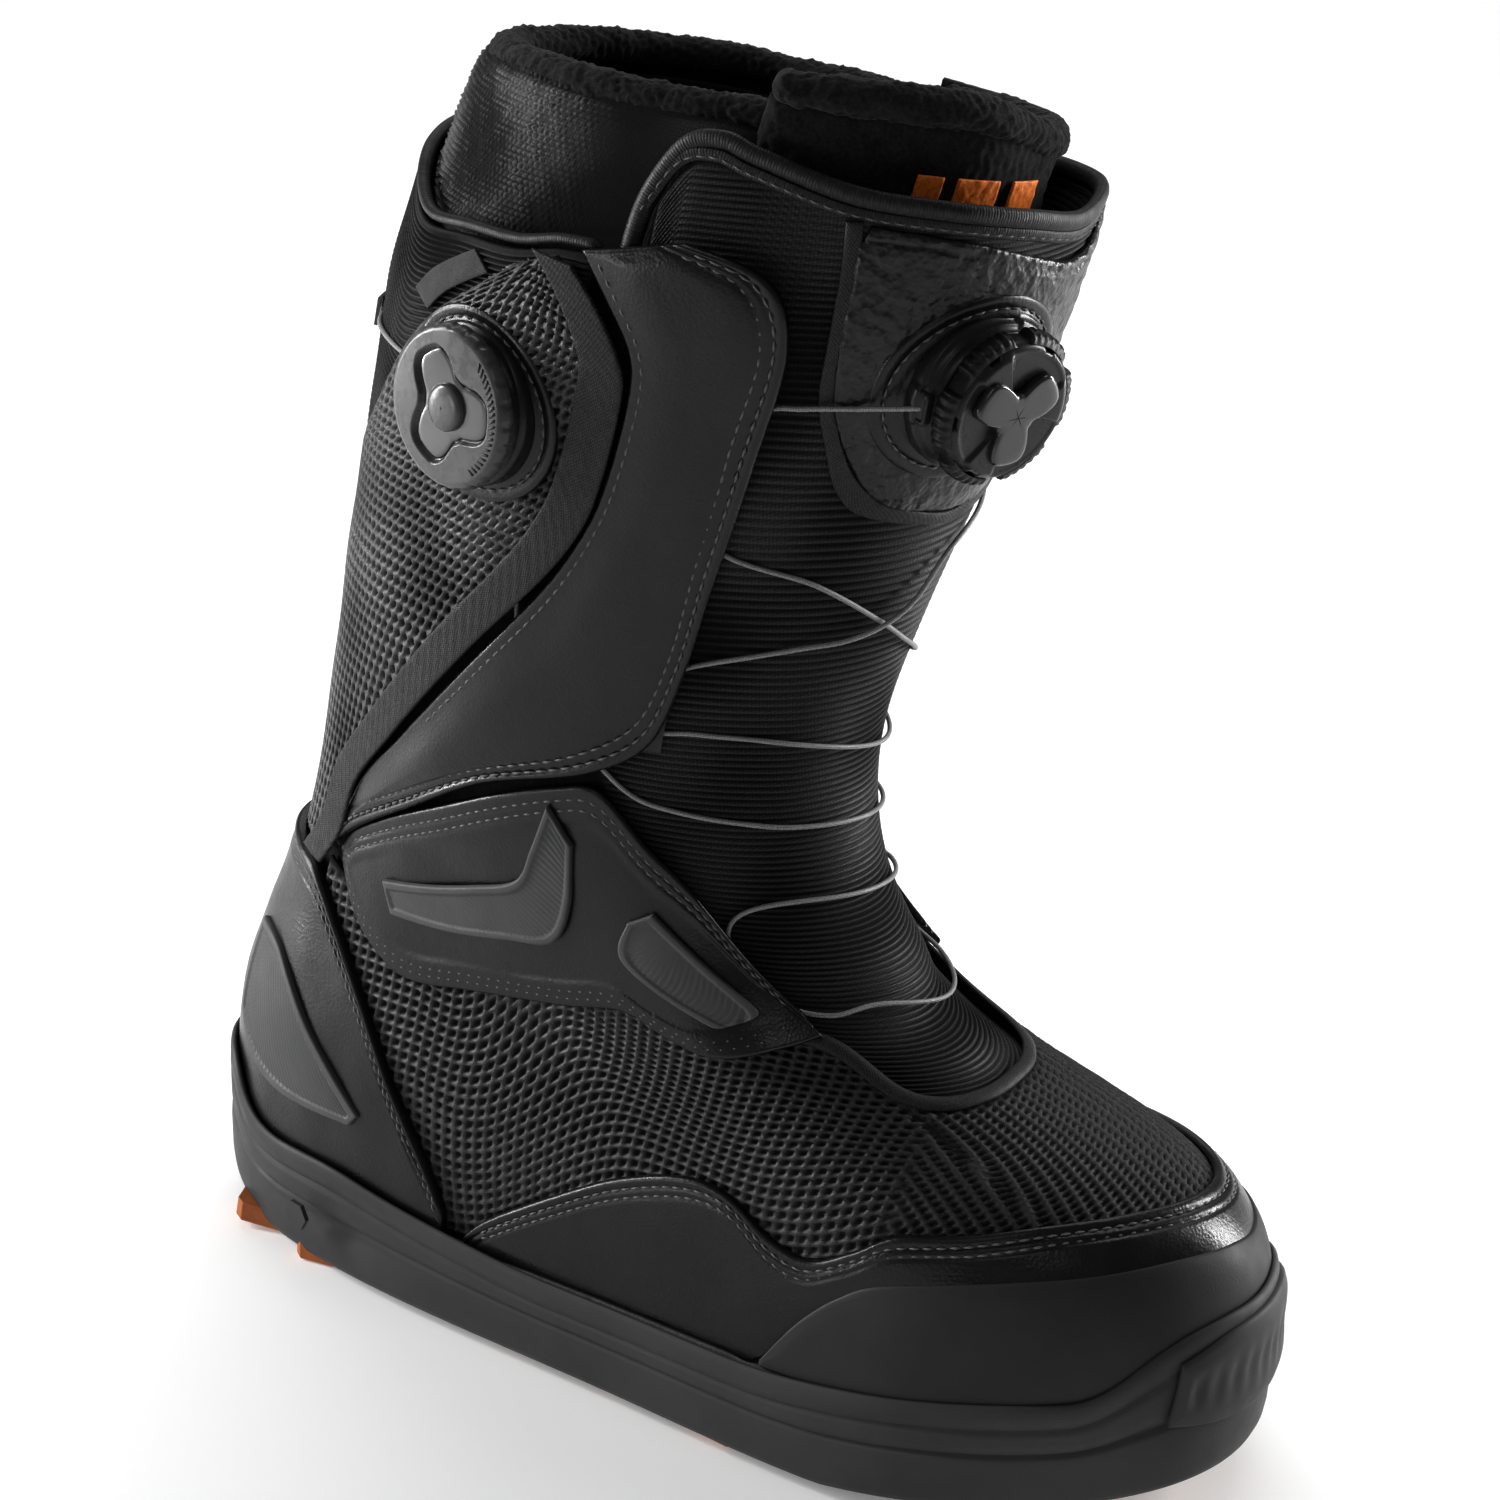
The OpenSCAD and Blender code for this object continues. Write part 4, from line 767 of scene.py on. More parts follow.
def puff(rise_mm, reach, wave=.25, size=34, seed=1):
    """Relief of a panel that swells from its borders and is a little uneven."""
    def relief(k):
        return rise_mm * (smooth(k.dist, 0, reach) - .35) + wave * waves(k.p, size, seed) * smooth(k.dist, 0, 8)
    return relief


def groove(k, d, w=.55, depth=.35):
    """Sunk seam line at distance d inside the upper edge of a panel."""
    return -depth * (np.exp(-((k.db - d) / w)**2))


def guard_relief(k):
    return puff(.35, 6, .16, 42, 2)(k) + groove(k, 3.1) + groove(k, 5.6) + .25 * np.exp(-((k.db - 1.2) / 1.1)**2)


_low = np.stack([GUARD_LOW[:, 0], np.maximum(GUARD_LOW[:, 1] - .03, 0)], 1)
Panel(_low, GUARD_TOP, 1.3, 1.8, .6, .8, guard_relief, .8).make("mudguard_leather", LEATHER, "mudguard")
for _d in (3.1, 5.6):
    stitches("mudguard_stitch_%d" % _d, [inset(GUARD_LOW, GUARD_TOP, 1, _d, .03, .97)], 2.45, THREAD, 3.2, 2.5, .34)
Panel(ground(RAND_TOP), RAND_TOP + [0, .004], 1.8, 2.0, 1.3, .8, puff(.3, 5, .12, 40, 3)).make(
    "toe_rand_rubber", RAND, "toe_rand")


def counter_relief(k):
    return puff(.4, 6, .18, 30, 5)(k) + .8 * np.exp(-((k.dist - 1.6) / 1.2)**2) + groove(k, 4.2) + groove(k, 6.4)


Panel(ground(COUNTER), COUNTER, 1.6, 1.8, .6, .8, counter_relief, 1.0).make(
    "heel_counter_leather", LEATHER, "heel_counter")
for _d in (4.2, 6.4):
    stitches("heel_stitch_%d" % _d, [inset(ground(COUNTER), COUNTER, 1, _d, .03, .97)], 2.5, THREAD, 3.2, 2.5, .34)
HEEL_A = P2((.063, .142), (.086, .1), (.111, .086), (.149, .092))
HEEL_B = P2((.055, .276), (.089, .26), (.127, .174), (.153, .108))


def ribbed(pitch, depth, border=2.2, slant=.7):
    """Slanted ribs inside a raised border."""
    def relief(k):
        inner = smooth(k.dist, border, border + .8)
        rib = .5 + .5 * np.sin((k.U + slant * k.V) * PI2 / pitch)
        return .35 * (1 - inner) + inner * (rib - 1) * depth
    return relief


for _side, _f in (("lateral", lambda q: q), ("medial", flip)):
    Panel(_f(HEEL_A), _f(HEEL_B), .45, 1.3, 2.6, .6, ribbed(1.7, .3)).make(
        "heel_inlay_" + _side, INLAY, "heel_inlays")

BACK_A = P2((-.034, .43), (-.034, .6), (-.034, .79))
BACK_B = P2((.034, .43), (.034, .6), (.034, .79))
Panel(BACK_A, BACK_B, 1.6, 1.8, -1.4, .8, puff(.5, 5, .1)).make("backstay_strip", LEATHER_SHINY, "backstay")
for _side in (0, 1):
    stitches("backstay_stitch", [inset(BACK_A, BACK_B, _side, 2.4, .02, .98)], .6, THREAD, 3.2, 2.4, .3)

COLLAR = both_sides((-.245, .962), (-.224, .962), (-.2, .955), (-.165, .954), (-.126, .95), (-.095, .962),
                    (-.06, .98), (0, .99))


def collar_relief(k):
    return (.45 * np.sin(k.db * PI2 / 1.7) * smooth(k.db, 1, 3) + .3 * waves(k.p, 30, 8)) * smooth(k.dist, 0, 3)


_low = np.stack([COLLAR[:, 0], np.full(len(COLLAR), .8)], 1)
Panel(_low, COLLAR, 1.6, 1.6, -1.6, .6, collar_relief, .36).make("rear_collar_elastic", ELASTIC, "rear_collar",
                                                                1.2)
_q, _nn, _ = st_line(COLLAR + [0, .0075], -.9, 200)
tube("collar_binding_tape", _q, _nn, 1.3, 1.7, GROSGRAIN, 12, node="collar_binding")

MESH_A = P2((.04, .43), (.04, .47), (.04, .53), (.042, .6), (.05, .68), (.065, .75), (.09, .8), (.12, .835),
            (.145, .875), (.165, .902), (.185, .922), (.21, .95))
MESH_B = P2((.098, .425), (.117, .488), (.133, .562), (.17, .635), (.217, .722), (.25, .778), (.264, .811),
            (.268, .84), (.268, .879), (.264, .902), (.246, .935), (.228, .96))


def mesh_in(s, t):
    """Height of the side mesh: sunk at the backstay, proud further forward."""
    return -1.4 + 3.2 * rise(s, .04, .15)


def spacer(k):
    """Diamond holes between raised cords."""
    u, v = (k.U + .45 * k.V) / 4.4, (k.V - .25 * k.U) / 2.7
    row = np.floor(v)
    du = (u + .5 * (row % 2)) % 1 - .5
    dv = v % 1 - .5
    hole = 1 - smooth(np.sqrt((du * 1.9)**2 + (dv * 2.1)**2), .35, .85)
    return (-1.25 * hole + .25 + .25 * waves(k.p, 40, 6)) * smooth(k.dist, 0, 2.5)


FLAP_A = P2((.113, .466), (.129, .515), (.15, .572), (.185, .632), (.23, .712), (.262, .77), (.276, .81),
            (.28, .84), (.28, .882), (.275, .908), (.258, .938), (.24, .968))
FLAP_B = P2((.119, .462), (.144, .507), (.185, .56), (.243, .622), (.305, .655), (.334, .683), (.343, .729),
            (.344, .785), (.345, .85), (.344, .92), (.325, .965), (.285, .984))
ANKLE_A = P2((.124, .44), (.136, .378), (.154, .335), (.172, .32), (.205, .348), (.253, .39), (.289, .422),
             (.307, .405), (.325, .398), (.364, .427), (.395, .448))
ANKLE_B = P2((.122, .46), (.133, .49), (.15, .515), (.175, .545), (.205, .575), (.245, .61), (.285, .635),
             (.309, .64), (.335, .605), (.363, .562), (.393, .472))
CHEV_A = P2((.166, .412), (.2, .43), (.24, .462), (.268, .484), (.286, .535), (.294, .592))
CHEV_B = P2((.162, .455), (.19, .478), (.225, .51), (.256, .54), (.27, .58), (.281, .62))
WEDGE_A = P2((.318, .536), (.307, .493), (.335, .446), (.343, .443))
WEDGE_B = P2((.334, .55), (.35, .518), (.369, .474), (.363, .459))


def ankle_in(s, t):
    """Height of the ankle panel: it lies over the flap's foot at the front."""
    return .5 + 1.6 * rise(s, .27, .34)


def flap_relief(k):
    return (1.1 * (smooth(k.dist, 0, 13) - .3) + .35 * waves(k.p, 46, 11) * smooth(k.dist, 0, 10)
            + groove(k, 3.2, .6, .4) + groove(k, 6.2, .6, .4) + .5 * np.exp(-((k.db - 1.3) / 1.2)**2))


def ankle_relief(k):
    inner = smooth(k.dist, 7.5, 9.5)
    return .3 - .35 * inner + groove(k, 3.0, .5, .35) + groove(k, 5.4, .5, .35) + .2 * waves(k.p, 36, 12) * inner


for _side, _f in (("lateral", lambda q: q), ("medial", flip)):
    Panel(_f(MESH_A), _f(MESH_B), .8, 1.8, mesh_in, .5, spacer).make(
        "side_mesh_%s_spacer" % _side, SPACER, "side_mesh_" + _side, 1.2)
    Panel(_f(MESH_B + [-.011, .003]), _f(MESH_B + [.011, -.003]), 1.1, .9, 4.2, .4,
          lambda k: .15 * np.sin((k.U + k.V) * PI2 / 1.5), 1.0).make(
        "side_binding_%s_tape" % _side, TAPE, "side_binding_" + _side)
    a, b = _f(FLAP_A), _f(FLAP_B)
    Panel(a, b, 1.6, 1.8, 2.3, .9, flap_relief, 1.0).make(_side + "_flap_leather", LEATHER, _side + "_flap",
                                                          1.4)
    for d in (3.2, 6.2):
        stitches("%s_flap_stitch_%d" % (_side, d), [inset(a, b, 1, d, .06, .97)], 4.1, THREAD, 3.4, 2.7, .36)
    stitches(_side + "_flap_stitch_a", [inset(a, b, 0, 3.0, .3, .97)], 4.0, THREAD, 3.4, 2.7, .34)
    a, b = _f(ANKLE_A), _f(ANKLE_B)
    Panel(a, b, 1.3, 1.5, ankle_in, .8, ankle_relief, .9).make(
        "ankle_panel_%s_leather" % _side, LEATHER, "ankle_panel_" + _side, 1.0)
    for d in (3.0, 5.4):
        for part, edge, u0, u1 in (("", 1, .1, .97), ("low_", 0, .05, .95)):
            stitches("ankle_%s_stitch_%s%d" % (_side, part, d), [inset(a, b, edge, d, u0, u1)],
                     lambda s, t: ankle_in(s, t) + 1.6, THREAD, 3.2, 2.5, .34)
    for name, ca, cb in (("chevron", CHEV_A, CHEV_B), ("wedge", WEDGE_A, WEDGE_B)):
        Panel(_f(ca), _f(cb), .5, 1.2, lambda s, t: ankle_in(s, t) + 1.8, .6, ribbed(1.5, .28, 1.8)).make(
            "ankle_%s_%s" % (name, _side), INLAY, "ankle_inlays_" + _side)

LABEL_A = P2((.152, .899), (.165, .915), (.19, .935))
LABEL_B = P2((.136, .908), (.15, .926), (.177, .948))
Panel(LABEL_A, LABEL_B, .6, .6, .5, .2, lambda k: .12 * np.sin(k.U * PI2 / 1.2) * np.sin(k.V * PI2 / 1.2)).make(
    "side_label_woven", WOVEN_LABEL, "side_label")
_a = np.stack([np.arange(-.33, .331, .06), np.full(12, .05)], 1)  # s from the medial to the lateral flap
Panel(_a, _a * [1, 0] + [0, .915], 4, 1.4, -3.8, .5, lambda k: .2 * waves(k.p, 20, 15)).make(
    "shell_lining_fabric", BRUSHED, "shell_lining", 1.0)

# ------------------------------------------------------------------ tongue
TONGUE_TOP = P2((.26, 1.005), (.272, 1.037), (.3, 1.031), (.35, 1.011), (.4, 1.002), (.45, .991), (.5, .98),
                (.55, .985), (.6, .982), (.65, .978), (.7, .965), (.728, .95), (.74, .915))


def wing(s, t):
    """The tongue's top falls back towards the liner, most at its front."""
    return -7 * np.clip((t - .93) / .12, 0, 1) * rise(s, .42, .3)


def tongue_off(s, t):
    """Height of the tongue's face; it dives under the vamp at its foot."""
    return wing(s, t) - 2.3 * smooth(t, .5, .455)


def surface(name, S, T, off, relief, mat, node, thick, edge=1.0):
    """A sheet over given rows of s and t, with rounded borders."""
    p, n, _, _ = skin(S, T)
    U, V = mm_uv(p)
    e = np.minimum(np.minimum(U, U[-1:] - U), np.minimum(V, V[:, -1:] - V))
    h = relief(p, S, T, U, V, e) - edge * (1 - smooth(e, 0, 2.5))
    P = p + n * (off(S, T) + h)[..., None]
    f = quads(*S.shape, flipped=turned(S, T))
    thicken(put(name, P, f, np.stack([U, V], -1), mat, "boot", node, relief=h), thick)


def build_tongue():
    """Ribbed sheet from the instep to the top, narrower below."""
    nu, nv = 120, 900
    top = curve(TONGUE_TOP, np.linspace(0, 1, nu))
    A, C = (np.stack([.5 + (top[:, 0] - .5) * share, np.full(nu, t)], 1) for share, t in ((.36, .36), (.8, .62)))
    v = np.linspace(0, 1, nv)[:, None, None]
    k = .4
    G = np.where(v < k, A + (C - A) * v / k, C + (top - C) * (v - k) / (1 - k)).transpose(1, 0, 2)

    def relief(p, S, T, U, V, e):
        ribs = .3 * np.sin(T * HEIGHT * PI2 / 1.55)
        return ribs * smooth(e, 1, 4) + .18 * waves(p, 36, 21)

    surface("tongue_fabric", G[..., 0], G[..., 1], tongue_off, relief, WEAVE, "tongue", 1.7, .5)


build_tongue()
BIND = P2((.257, .96), (.2545, 1.005), (.263, 1.042), (.28, 1.048), (.3, 1.0385), (.35, 1.0185), (.4, 1.0095),
    (.45, .9985), (.5, .987), (.55, .992), (.6, .989), (.65, .985), (.7, .972), (.72, .965), (.737, .955),
    (.7455, .915), (.743, .865))
_q, _nn, _ = st_line(BIND, lambda s, t: wing(s, t) - .7, 340)
tube("tongue_binding_tape", _q, _nn, 2.4, 1.7, GROSGRAIN, 14, node="tongue_binding")
_q, _nn, _ = st_line(BIND[1:-1] - [0, .0095], lambda s, t: wing(s, t) + .35, 300)
tube("tongue_binding_inner", _q, _nn, 1.5, .45, GROSGRAIN, 10)
stitches("tongue_binding_stitch", [BIND[1:-1] - [0, .0105]], lambda s, t: wing(s, t) + .95, THREAD_GREY, 3.2, 2.3,
         .26)

PATCH_LOW = P2((.3605, .985), (.3665, .92), (.378, .875), (.41, .835), (.455, .821), (.5, .82), (.536, .833),
               (.564, .86), (.578, .905), (.575, .95))
PATCH_TOP = P2((.3635, 1.0005), (.374, .9985), (.39, .9955), (.42, .9875), (.455, .9745), (.49, .963), (.515, .9625),
               (.535, .969), (.552, .978), (.565, .984))
Panel(PATCH_LOW, PATCH_TOP, .9, 1.3, lambda s, t: wing(s, t) + .4, .8,
      lambda k: .5 * smooth(k.dist, 0, 5) + .22 * waves(k.p, 30, 22) + .12 * waves(k.p, 3.2, 23, 24)
      + groove(k, 3.0, .5, .4)).make("tongue_patch_leather", PEBBLE, "tongue_patch", 1.0)
SEAM = P2((.36, 1.003), (.365, .97), (.37, .92), (.374, .89), (.384, .865), (.4, .843), (.425, .828), (.478, .817),
          (.53, .828), (.555, .843), (.572, .865), (.58, .89), (.58, .92), (.575, .96), (.56, .985))
_sgn = np.where(SEAM[:, :1] < .47, -1.0, 1.0)
_low = np.where(SEAM[:, 1:] < .85, 1.0, 0.0)
SEAM_A = SEAM + np.concatenate([_sgn * .009, -_low * .006], 1)
SEAM_B = SEAM + np.concatenate([_sgn * .0005, _low * .001], 1)
Panel(SEAM_A, SEAM_B, 1.2, 1.0, lambda s, t: wing(s, t) + .4, .4,
      lambda k: .25 * smooth(k.dist, 0, 1.6) + .07 * np.sin(k.U * PI2 / 1.1), .8).make(
    "tongue_seam_strip", TAPE, "tongue_seam_tape")

# ------------------------------------------------------------------ dials
def axes(tilt, turn):
    """Rows x, y, z of a dial's frame; z is its shaft."""
    b, a = math.radians(tilt), math.radians(turn)
    return np.array([[math.cos(b) * math.cos(a), math.cos(b) * math.sin(a), -math.sin(b)],
                     [-math.sin(a), math.cos(a), 0],
                     [math.sin(b) * math.cos(a), math.sin(b) * math.sin(a), math.cos(b)]])


FRONT_AT, FA = np.array([65.3, -20.7, 275.9]), axes(100.95, -22.13)
SIDE_AT, SA = np.array([-42.9, -58.9, 260.6]), axes(87.13, -104.52)


def to_skin(at0, A, x, y, s0, t0):
    """[s, t] of the skin points that lie over dial plane points x, y."""
    s, t = np.full(x.shape, s0), np.full(x.shape, t0)
    for _ in range(12):
        p, _, ps, pt = skin(s, t)
        d = p - at0
        fx, fy = d @ A[0] - x, d @ A[1] - y
        a, b, c, e = ps @ A[0], pt @ A[0], ps @ A[1], pt @ A[1]
        det = a * e - b * c
        s = s - np.clip((e * fx - b * fy) / det, -.03, .03)
        t = t - np.clip((a * fy - c * fx) / det, -.06, .06)
    return s, t


def lathe(name, prof, at0, A, mat, body="boot", node=None, n=128, shape=None):
    """Turned piece: prof lists (radius, height); shape(a, r, z) may move the radius and the height."""
    prof = np.asarray(prof, float)
    a = np.arange(n) * PI2 / n
    r = np.repeat(prof[None, :, 0], n, 0)
    z = np.repeat(prof[None, :, 1], n, 0)
    if shape:
        r, z = shape(a[:, None], r, z)
    P = at0 + (r * np.cos(a)[:, None])[..., None] * A[0] + (r * np.sin(a)[:, None])[..., None] * A[1] \
        + z[..., None] * A[2]
    uv = np.stack([np.broadcast_to(a[:, None] * 15, r.shape), r + z], -1)
    return put(name, P, quads(n, len(prof), close_u=True), uv, mat, body, node)


def flange(name, at0, A, s0, t0, r0, r1, lift, mat, thick=1.3, nr=26, n=180):
    """Collar that follows the boot's surface round a dial, from radius r0 to r1; s0, t0 is a point of the skin near
    the dial. Returns the line of its stitches."""
    s0, t0 = (float(v[0]) for v in to_skin(at0, A, np.zeros(1), np.zeros(1), s0, t0))
    r = np.concatenate([np.linspace(r0, r1, nr), [r1 + .35, r1 + .45]])
    a = np.arange(n) * PI2 / n
    x, y = np.cos(a)[:, None] * r, np.sin(a)[:, None] * r
    s, t = to_skin(at0, A, x, y, s0, t0)
    p, nn, _, _ = skin(s, t)
    up = thick * (1 - .25 * smooth(r, r0 + 1.5, r1 - 1)) - np.where(r > r1, 1.0 * thick * (r - r1) / .45, 0)
    seam = r1 - 2.6
    up = (up + .55 * (1 - smooth(r, r0, r0 + 1.6)) + .25 * np.exp(-((r - r1 + .9) / .8)**2)
          - .3 * np.exp(-((r - seam) / .5)**2))
    P = p + nn * (lift(s, t) + up[None])[..., None]
    uv = np.stack([np.broadcast_to(a[:, None] * r1, x.shape), np.broadcast_to(r[None], x.shape)], -1)
    put(name, P, quads(n, len(r), close_u=True), uv, mat)
    b = np.linspace(0, PI2, 93)
    s, t = to_skin(at0, A, np.cos(b) * seam, np.sin(b) * seam, s0, t0)
    return np.stack([s, t], 1)


def away(a, turn, count):
    """Degrees from the nearest of count evenly spaced directions, one of them at turn."""
    return np.abs(((a - turn) * count / PI2 + .5) % 1 - .5) / count * 360


_line = flange("front_dial_collar", FRONT_AT, FA, .47, .9, 16.6, 23.4, lambda s, t: wing(s, t) + 1.7, LEATHER)
stitches("front_dial_stitch", [_line], lambda s, t: wing(s, t) + 2.85, THREAD, 3.1, 2.4, .36)


def housing_tabs(a, r, z):
    """Three low tabs round the rim."""
    return r + .9 * (1 - smooth(away(a, math.radians(30), 3), 13, 14.2)) * ((z > 1.5) & (z < 4.5)), z


lathe("front_dial_housing", [(3, 1.0), (14.4, 1.0), (14.6, 5.4), (15, 5.9), (16.0, 5.9), (16.5, 5.5), (16.6, 4.4),
                             (17.4, 4.2), (17.8, 3.7), (17.9, 2.4), (18.6, 2.2), (19, 1.7), (19, -1.5), (18, -2.2)],
      FRONT_AT, FA, DIAL, node="front_dial_base", n=180, shape=housing_tabs)


def port(name, at0, A, ang, r, z, w, h, depth, mat):
    """Small framed outlet for the lace."""
    a = np.arange(28) * PI2 / 28
    c = np.sign(np.cos(a)) * np.abs(np.cos(a))**.45
    s = np.sign(np.sin(a)) * np.abs(np.sin(a))**.45
    rows = []
    for k, d in ((1.25, -1.2), (1.25, .5), (1.12, .9), (.95, .9), (.82, .5), (.8, -depth), (.05, -depth)):
        x = r + d
        y, zz = c * w / 2 * k, s * h / 2 * k
        px = math.cos(ang) * x - math.sin(ang) * y
        py = math.sin(ang) * x + math.cos(ang) * y
        rows.append(at0 + px[:, None] * A[0] + py[:, None] * A[1] + (z + zz)[:, None] * A[2])
    put(name, np.stack(rows, 1), quads(28, len(rows), close_u=True, flipped=True), None, mat)


for _n, _a in (("a", -math.pi / 2), ("b", math.pi / 2)):
    port("front_dial_port_" + _n, FRONT_AT, FA, _a, 18.0, 2.9, 6.5, 3.6, 2.0, DIAL)


def knob_top(a, r, z):
    """Three broad spokes between shallow dished fields, turned a little."""
    x = away(a, math.radians(92), 3)
    field = smooth(x, 16, 22) * smooth(r, 4.2, 5.4) * smooth(r, 15.6, 14.2)
    top = z > 11.2
    notch = away(a, math.radians(30), 6)
    side = (r > 15.5) & (z < 12.2)
    cut = (1 - smooth(notch, 5.0, 6.4)) * side * smooth(z, 6.2, 7.2)
    return r - 1.0 * cut, z - .9 * field * top


_kp = [(4, 6.35), (16.2, 6.35), (16.8, 7.0), (17.0, 8.0), (17.0, 9.6), (16.8, 10.6), (16.2, 11.7), (15.4, 12.5),
       (14.6, 12.95)]
_kp += [(r, 13.05 - .35 * ((14.2 - r) / 14.2)**2) for r in np.linspace(14.2, .3, 34)]
lathe("front_knob_body", _kp, FRONT_AT, FA, DIAL, "front_knob", "front_knob", 240, knob_top)


def build_grips():
    """Six ribbed rubber pads round the front knob."""
    grids = []
    prof = [(16.4, 6.7), (17.6, 6.7), (18.3, 7.1), (18.7, 7.8), (18.7, 9.6), (18.35, 10.7), (17.6, 11.4),
            (16.4, 11.7)]
    for i in range(6):
        m = 56
        a = math.radians(i * 60 + 7) + np.linspace(0, math.radians(46), m)
        e = np.minimum(a - a[0], a[-1] - a) * 18
        rib = .22 * np.cos((a - a[0]) * 18 * PI2 / 2.3)
        P = np.zeros((m, len(prof), 3))
        for j, (r, z) in enumerate(prof):
            side = 1 if 1 <= j <= 6 else 0
            rr = 16.3 + (r - 16.3) * (.25 + .75 * smooth(e, 0, .9)) + side * rib * smooth(e, .6, 1.4)
            P[:, j] = FRONT_AT + (rr * np.cos(a))[:, None] * FA[0] + (rr * np.sin(a))[:, None] * FA[1] + z * FA[2]
        grids.append(P)
    put_grids("front_knob_grip_pads", grids, GRIP, "front_knob", "front_knob_grips", "grip_rubber")


build_grips()


def plate(name, outline, levels, at0, A, mat, body, node, dome):
    """Domed plate with a rounded outline in the dial frame."""
    P = prism(outline, levels)
    P[..., 2] += dome * (1 - (np.linalg.norm(P[..., :2], axis=-1) / 14)**2)
    put(name, at0 + P @ A, quads(*P.shape[:2], close_u=True), P[..., :2], mat, body, node)


def three(r_arm, r_in, half, turn, n=60):
    """Rounded three-armed outline."""
    a = np.arange(3 * n) * PI2 / (3 * n)
    x = away(a, turn, 3)
    r = r_in + (r_arm - r_in) * (1 - smooth(x, half, 52))
    return np.stack([r * np.cos(a), r * np.sin(a)], 1)


plate("front_knob_cap_gloss", three(12.2, 5.6, 14, 0), [(0, 12.4), (0, 13.5), (.2, 14.0), (.6, 14.3), (1.2, 14.42),
      (3, 14.42), (5, 14.42), (9, 14.42), (30, 14.42)], FRONT_AT, FA, GLOSS, "front_knob", "front_knob_cap",
      .15)

# side dial
_line = flange("side_dial_collar", SIDE_AT, SA, .2, .84, 17.5, 22.6, lambda s, t: mesh_in(s, t) + 1.8, LEATHER,
               1.0)
stitches("side_dial_stitch", [_line], lambda s, t: mesh_in(s, t) + 2.7, THREAD, 3.1, 2.4, .34)
lathe("side_dial_housing", [(3, .9), (14.4, .9), (14.6, 3.4), (15, 3.65), (16.4, 3.65), (17.0, 3.2), (17.2, 2.2),
                            (18.4, 2.0), (19.0, 1.5), (19.2, .6), (19.2, -2.5), (18, -3)],
      SIDE_AT, SA, DIAL, node="side_dial_base", n=160)


def side_top(a, r, z):
    """A three-armed recess round a raised hub, and fine notches round the edge."""
    x = away(a, math.radians(90), 3)
    edge = 8.9 + 5.6 * (1 - smooth(x, 12, 56))
    dip = 1.5 * (1 - smooth(r, edge - .7, edge + .1)) * (z > 6)
    up = 1.15 * (1 - smooth(r, 4.4, 5.6)) * (z > 6)
    notch = np.abs((a * 24 / PI2) % 1 - .5) * 2
    cut = .35 * smooth(notch, .55, .8) * ((r > 18.0) & (z < 7.4) & (z > 4.6))
    return r - cut, z - dip + up + .5 * (1 - (r / 19)**2) * (z > 7.2)


_sp = [(4, 4.05), (18.6, 4.05), (19.3, 4.7), (19.3, 5.9), (19.0, 6.8), (18.4, 7.6), (17.6, 8.0)]
_sp += [(r, 8.0) for r in np.linspace(17.2, .3, 60)]
lathe("side_knob_body", _sp, SIDE_AT, SA, GREY, "side_knob", "side_knob", 260, side_top)
plate("side_knob_recess", three(13.6, 8.0, 12, math.radians(90)), [(0, 6.6), (.1, 7.15), (.6, 7.25), (2, 7.25),
      (5, 7.25), (9, 7.25), (30, 7.25)], SIDE_AT, SA, GLOSS, "side_knob", "side_knob_trim", .1)
lathe("side_knob_hub", [(5.6, 7.0), (5.5, 8.2), (5.1, 8.7), (4.2, 9.0), (2.5, 9.15), (.3, 9.2)], SIDE_AT, SA, GREY,
      "side_knob", n=72)


def build_marks():
    """Short slanted marks on the side knob's rim."""
    grids = []
    for a in np.arange(35, 140, 5.0):
        o = [(15.2, a), (17.0, a + 3.2), (17.0, a + 5.4), (15.2, a + 2.2)]
        q = np.array([(r * math.cos(math.radians(b)), r * math.sin(math.radians(b))) for r, b in o])
        grids.append(SIDE_AT + prism(q, [(0, 7.75), (0, 8.25), (.12, 8.37), (.9, 8.37), (9, 8.37)]) @ SA)
    put_grids("side_knob_marks", grids, GRIP, "side_knob", close_u=True)


build_marks()

# ------------------------------------------------------------------ laces
def over(at0, A, y, z):
    """Point of a dial's frame at y across and z along its shaft."""
    return tuple(at0 + 0 * A[0] + y * A[1] + z * A[2])


# Routes as points of s, t and height of the lace's middle line over the skin.
UPPER_1 = P2((.385, .888, 3.6), (.36, .886, 2.6), (.34, .88, 1), (.325, .85, 1), (.33, .815, 1), (.348, .8, 1),
    (.4, .785, 1), (.45, .762, 1), (.5, .738, 1), (.56, .715, 1), (.62, .7, 1), (.655, .692, 1), (.668, .677, 1),
    (.655, .662, 1), (.6, .662, 1), (.53, .665, 1), (.42, .685, 1), (.36, .69, 1), (.335, .69, 1), (.325, .71, 1),
    (.343, .733, 1), (.4, .748, 1.4), (.43, .754, 2.5), (.455, .761, 2.7), (.475, .772, 2.4), (.5, .795, 1.2),
    (.56, .81, 1), (.62, .818, 1), (.655, .825, 1), (.67, .85, 1), (.655, .88, 1), (.62, .886, 1.4),
    (.588, .888, 2.8), (.555, .889, 3.8))
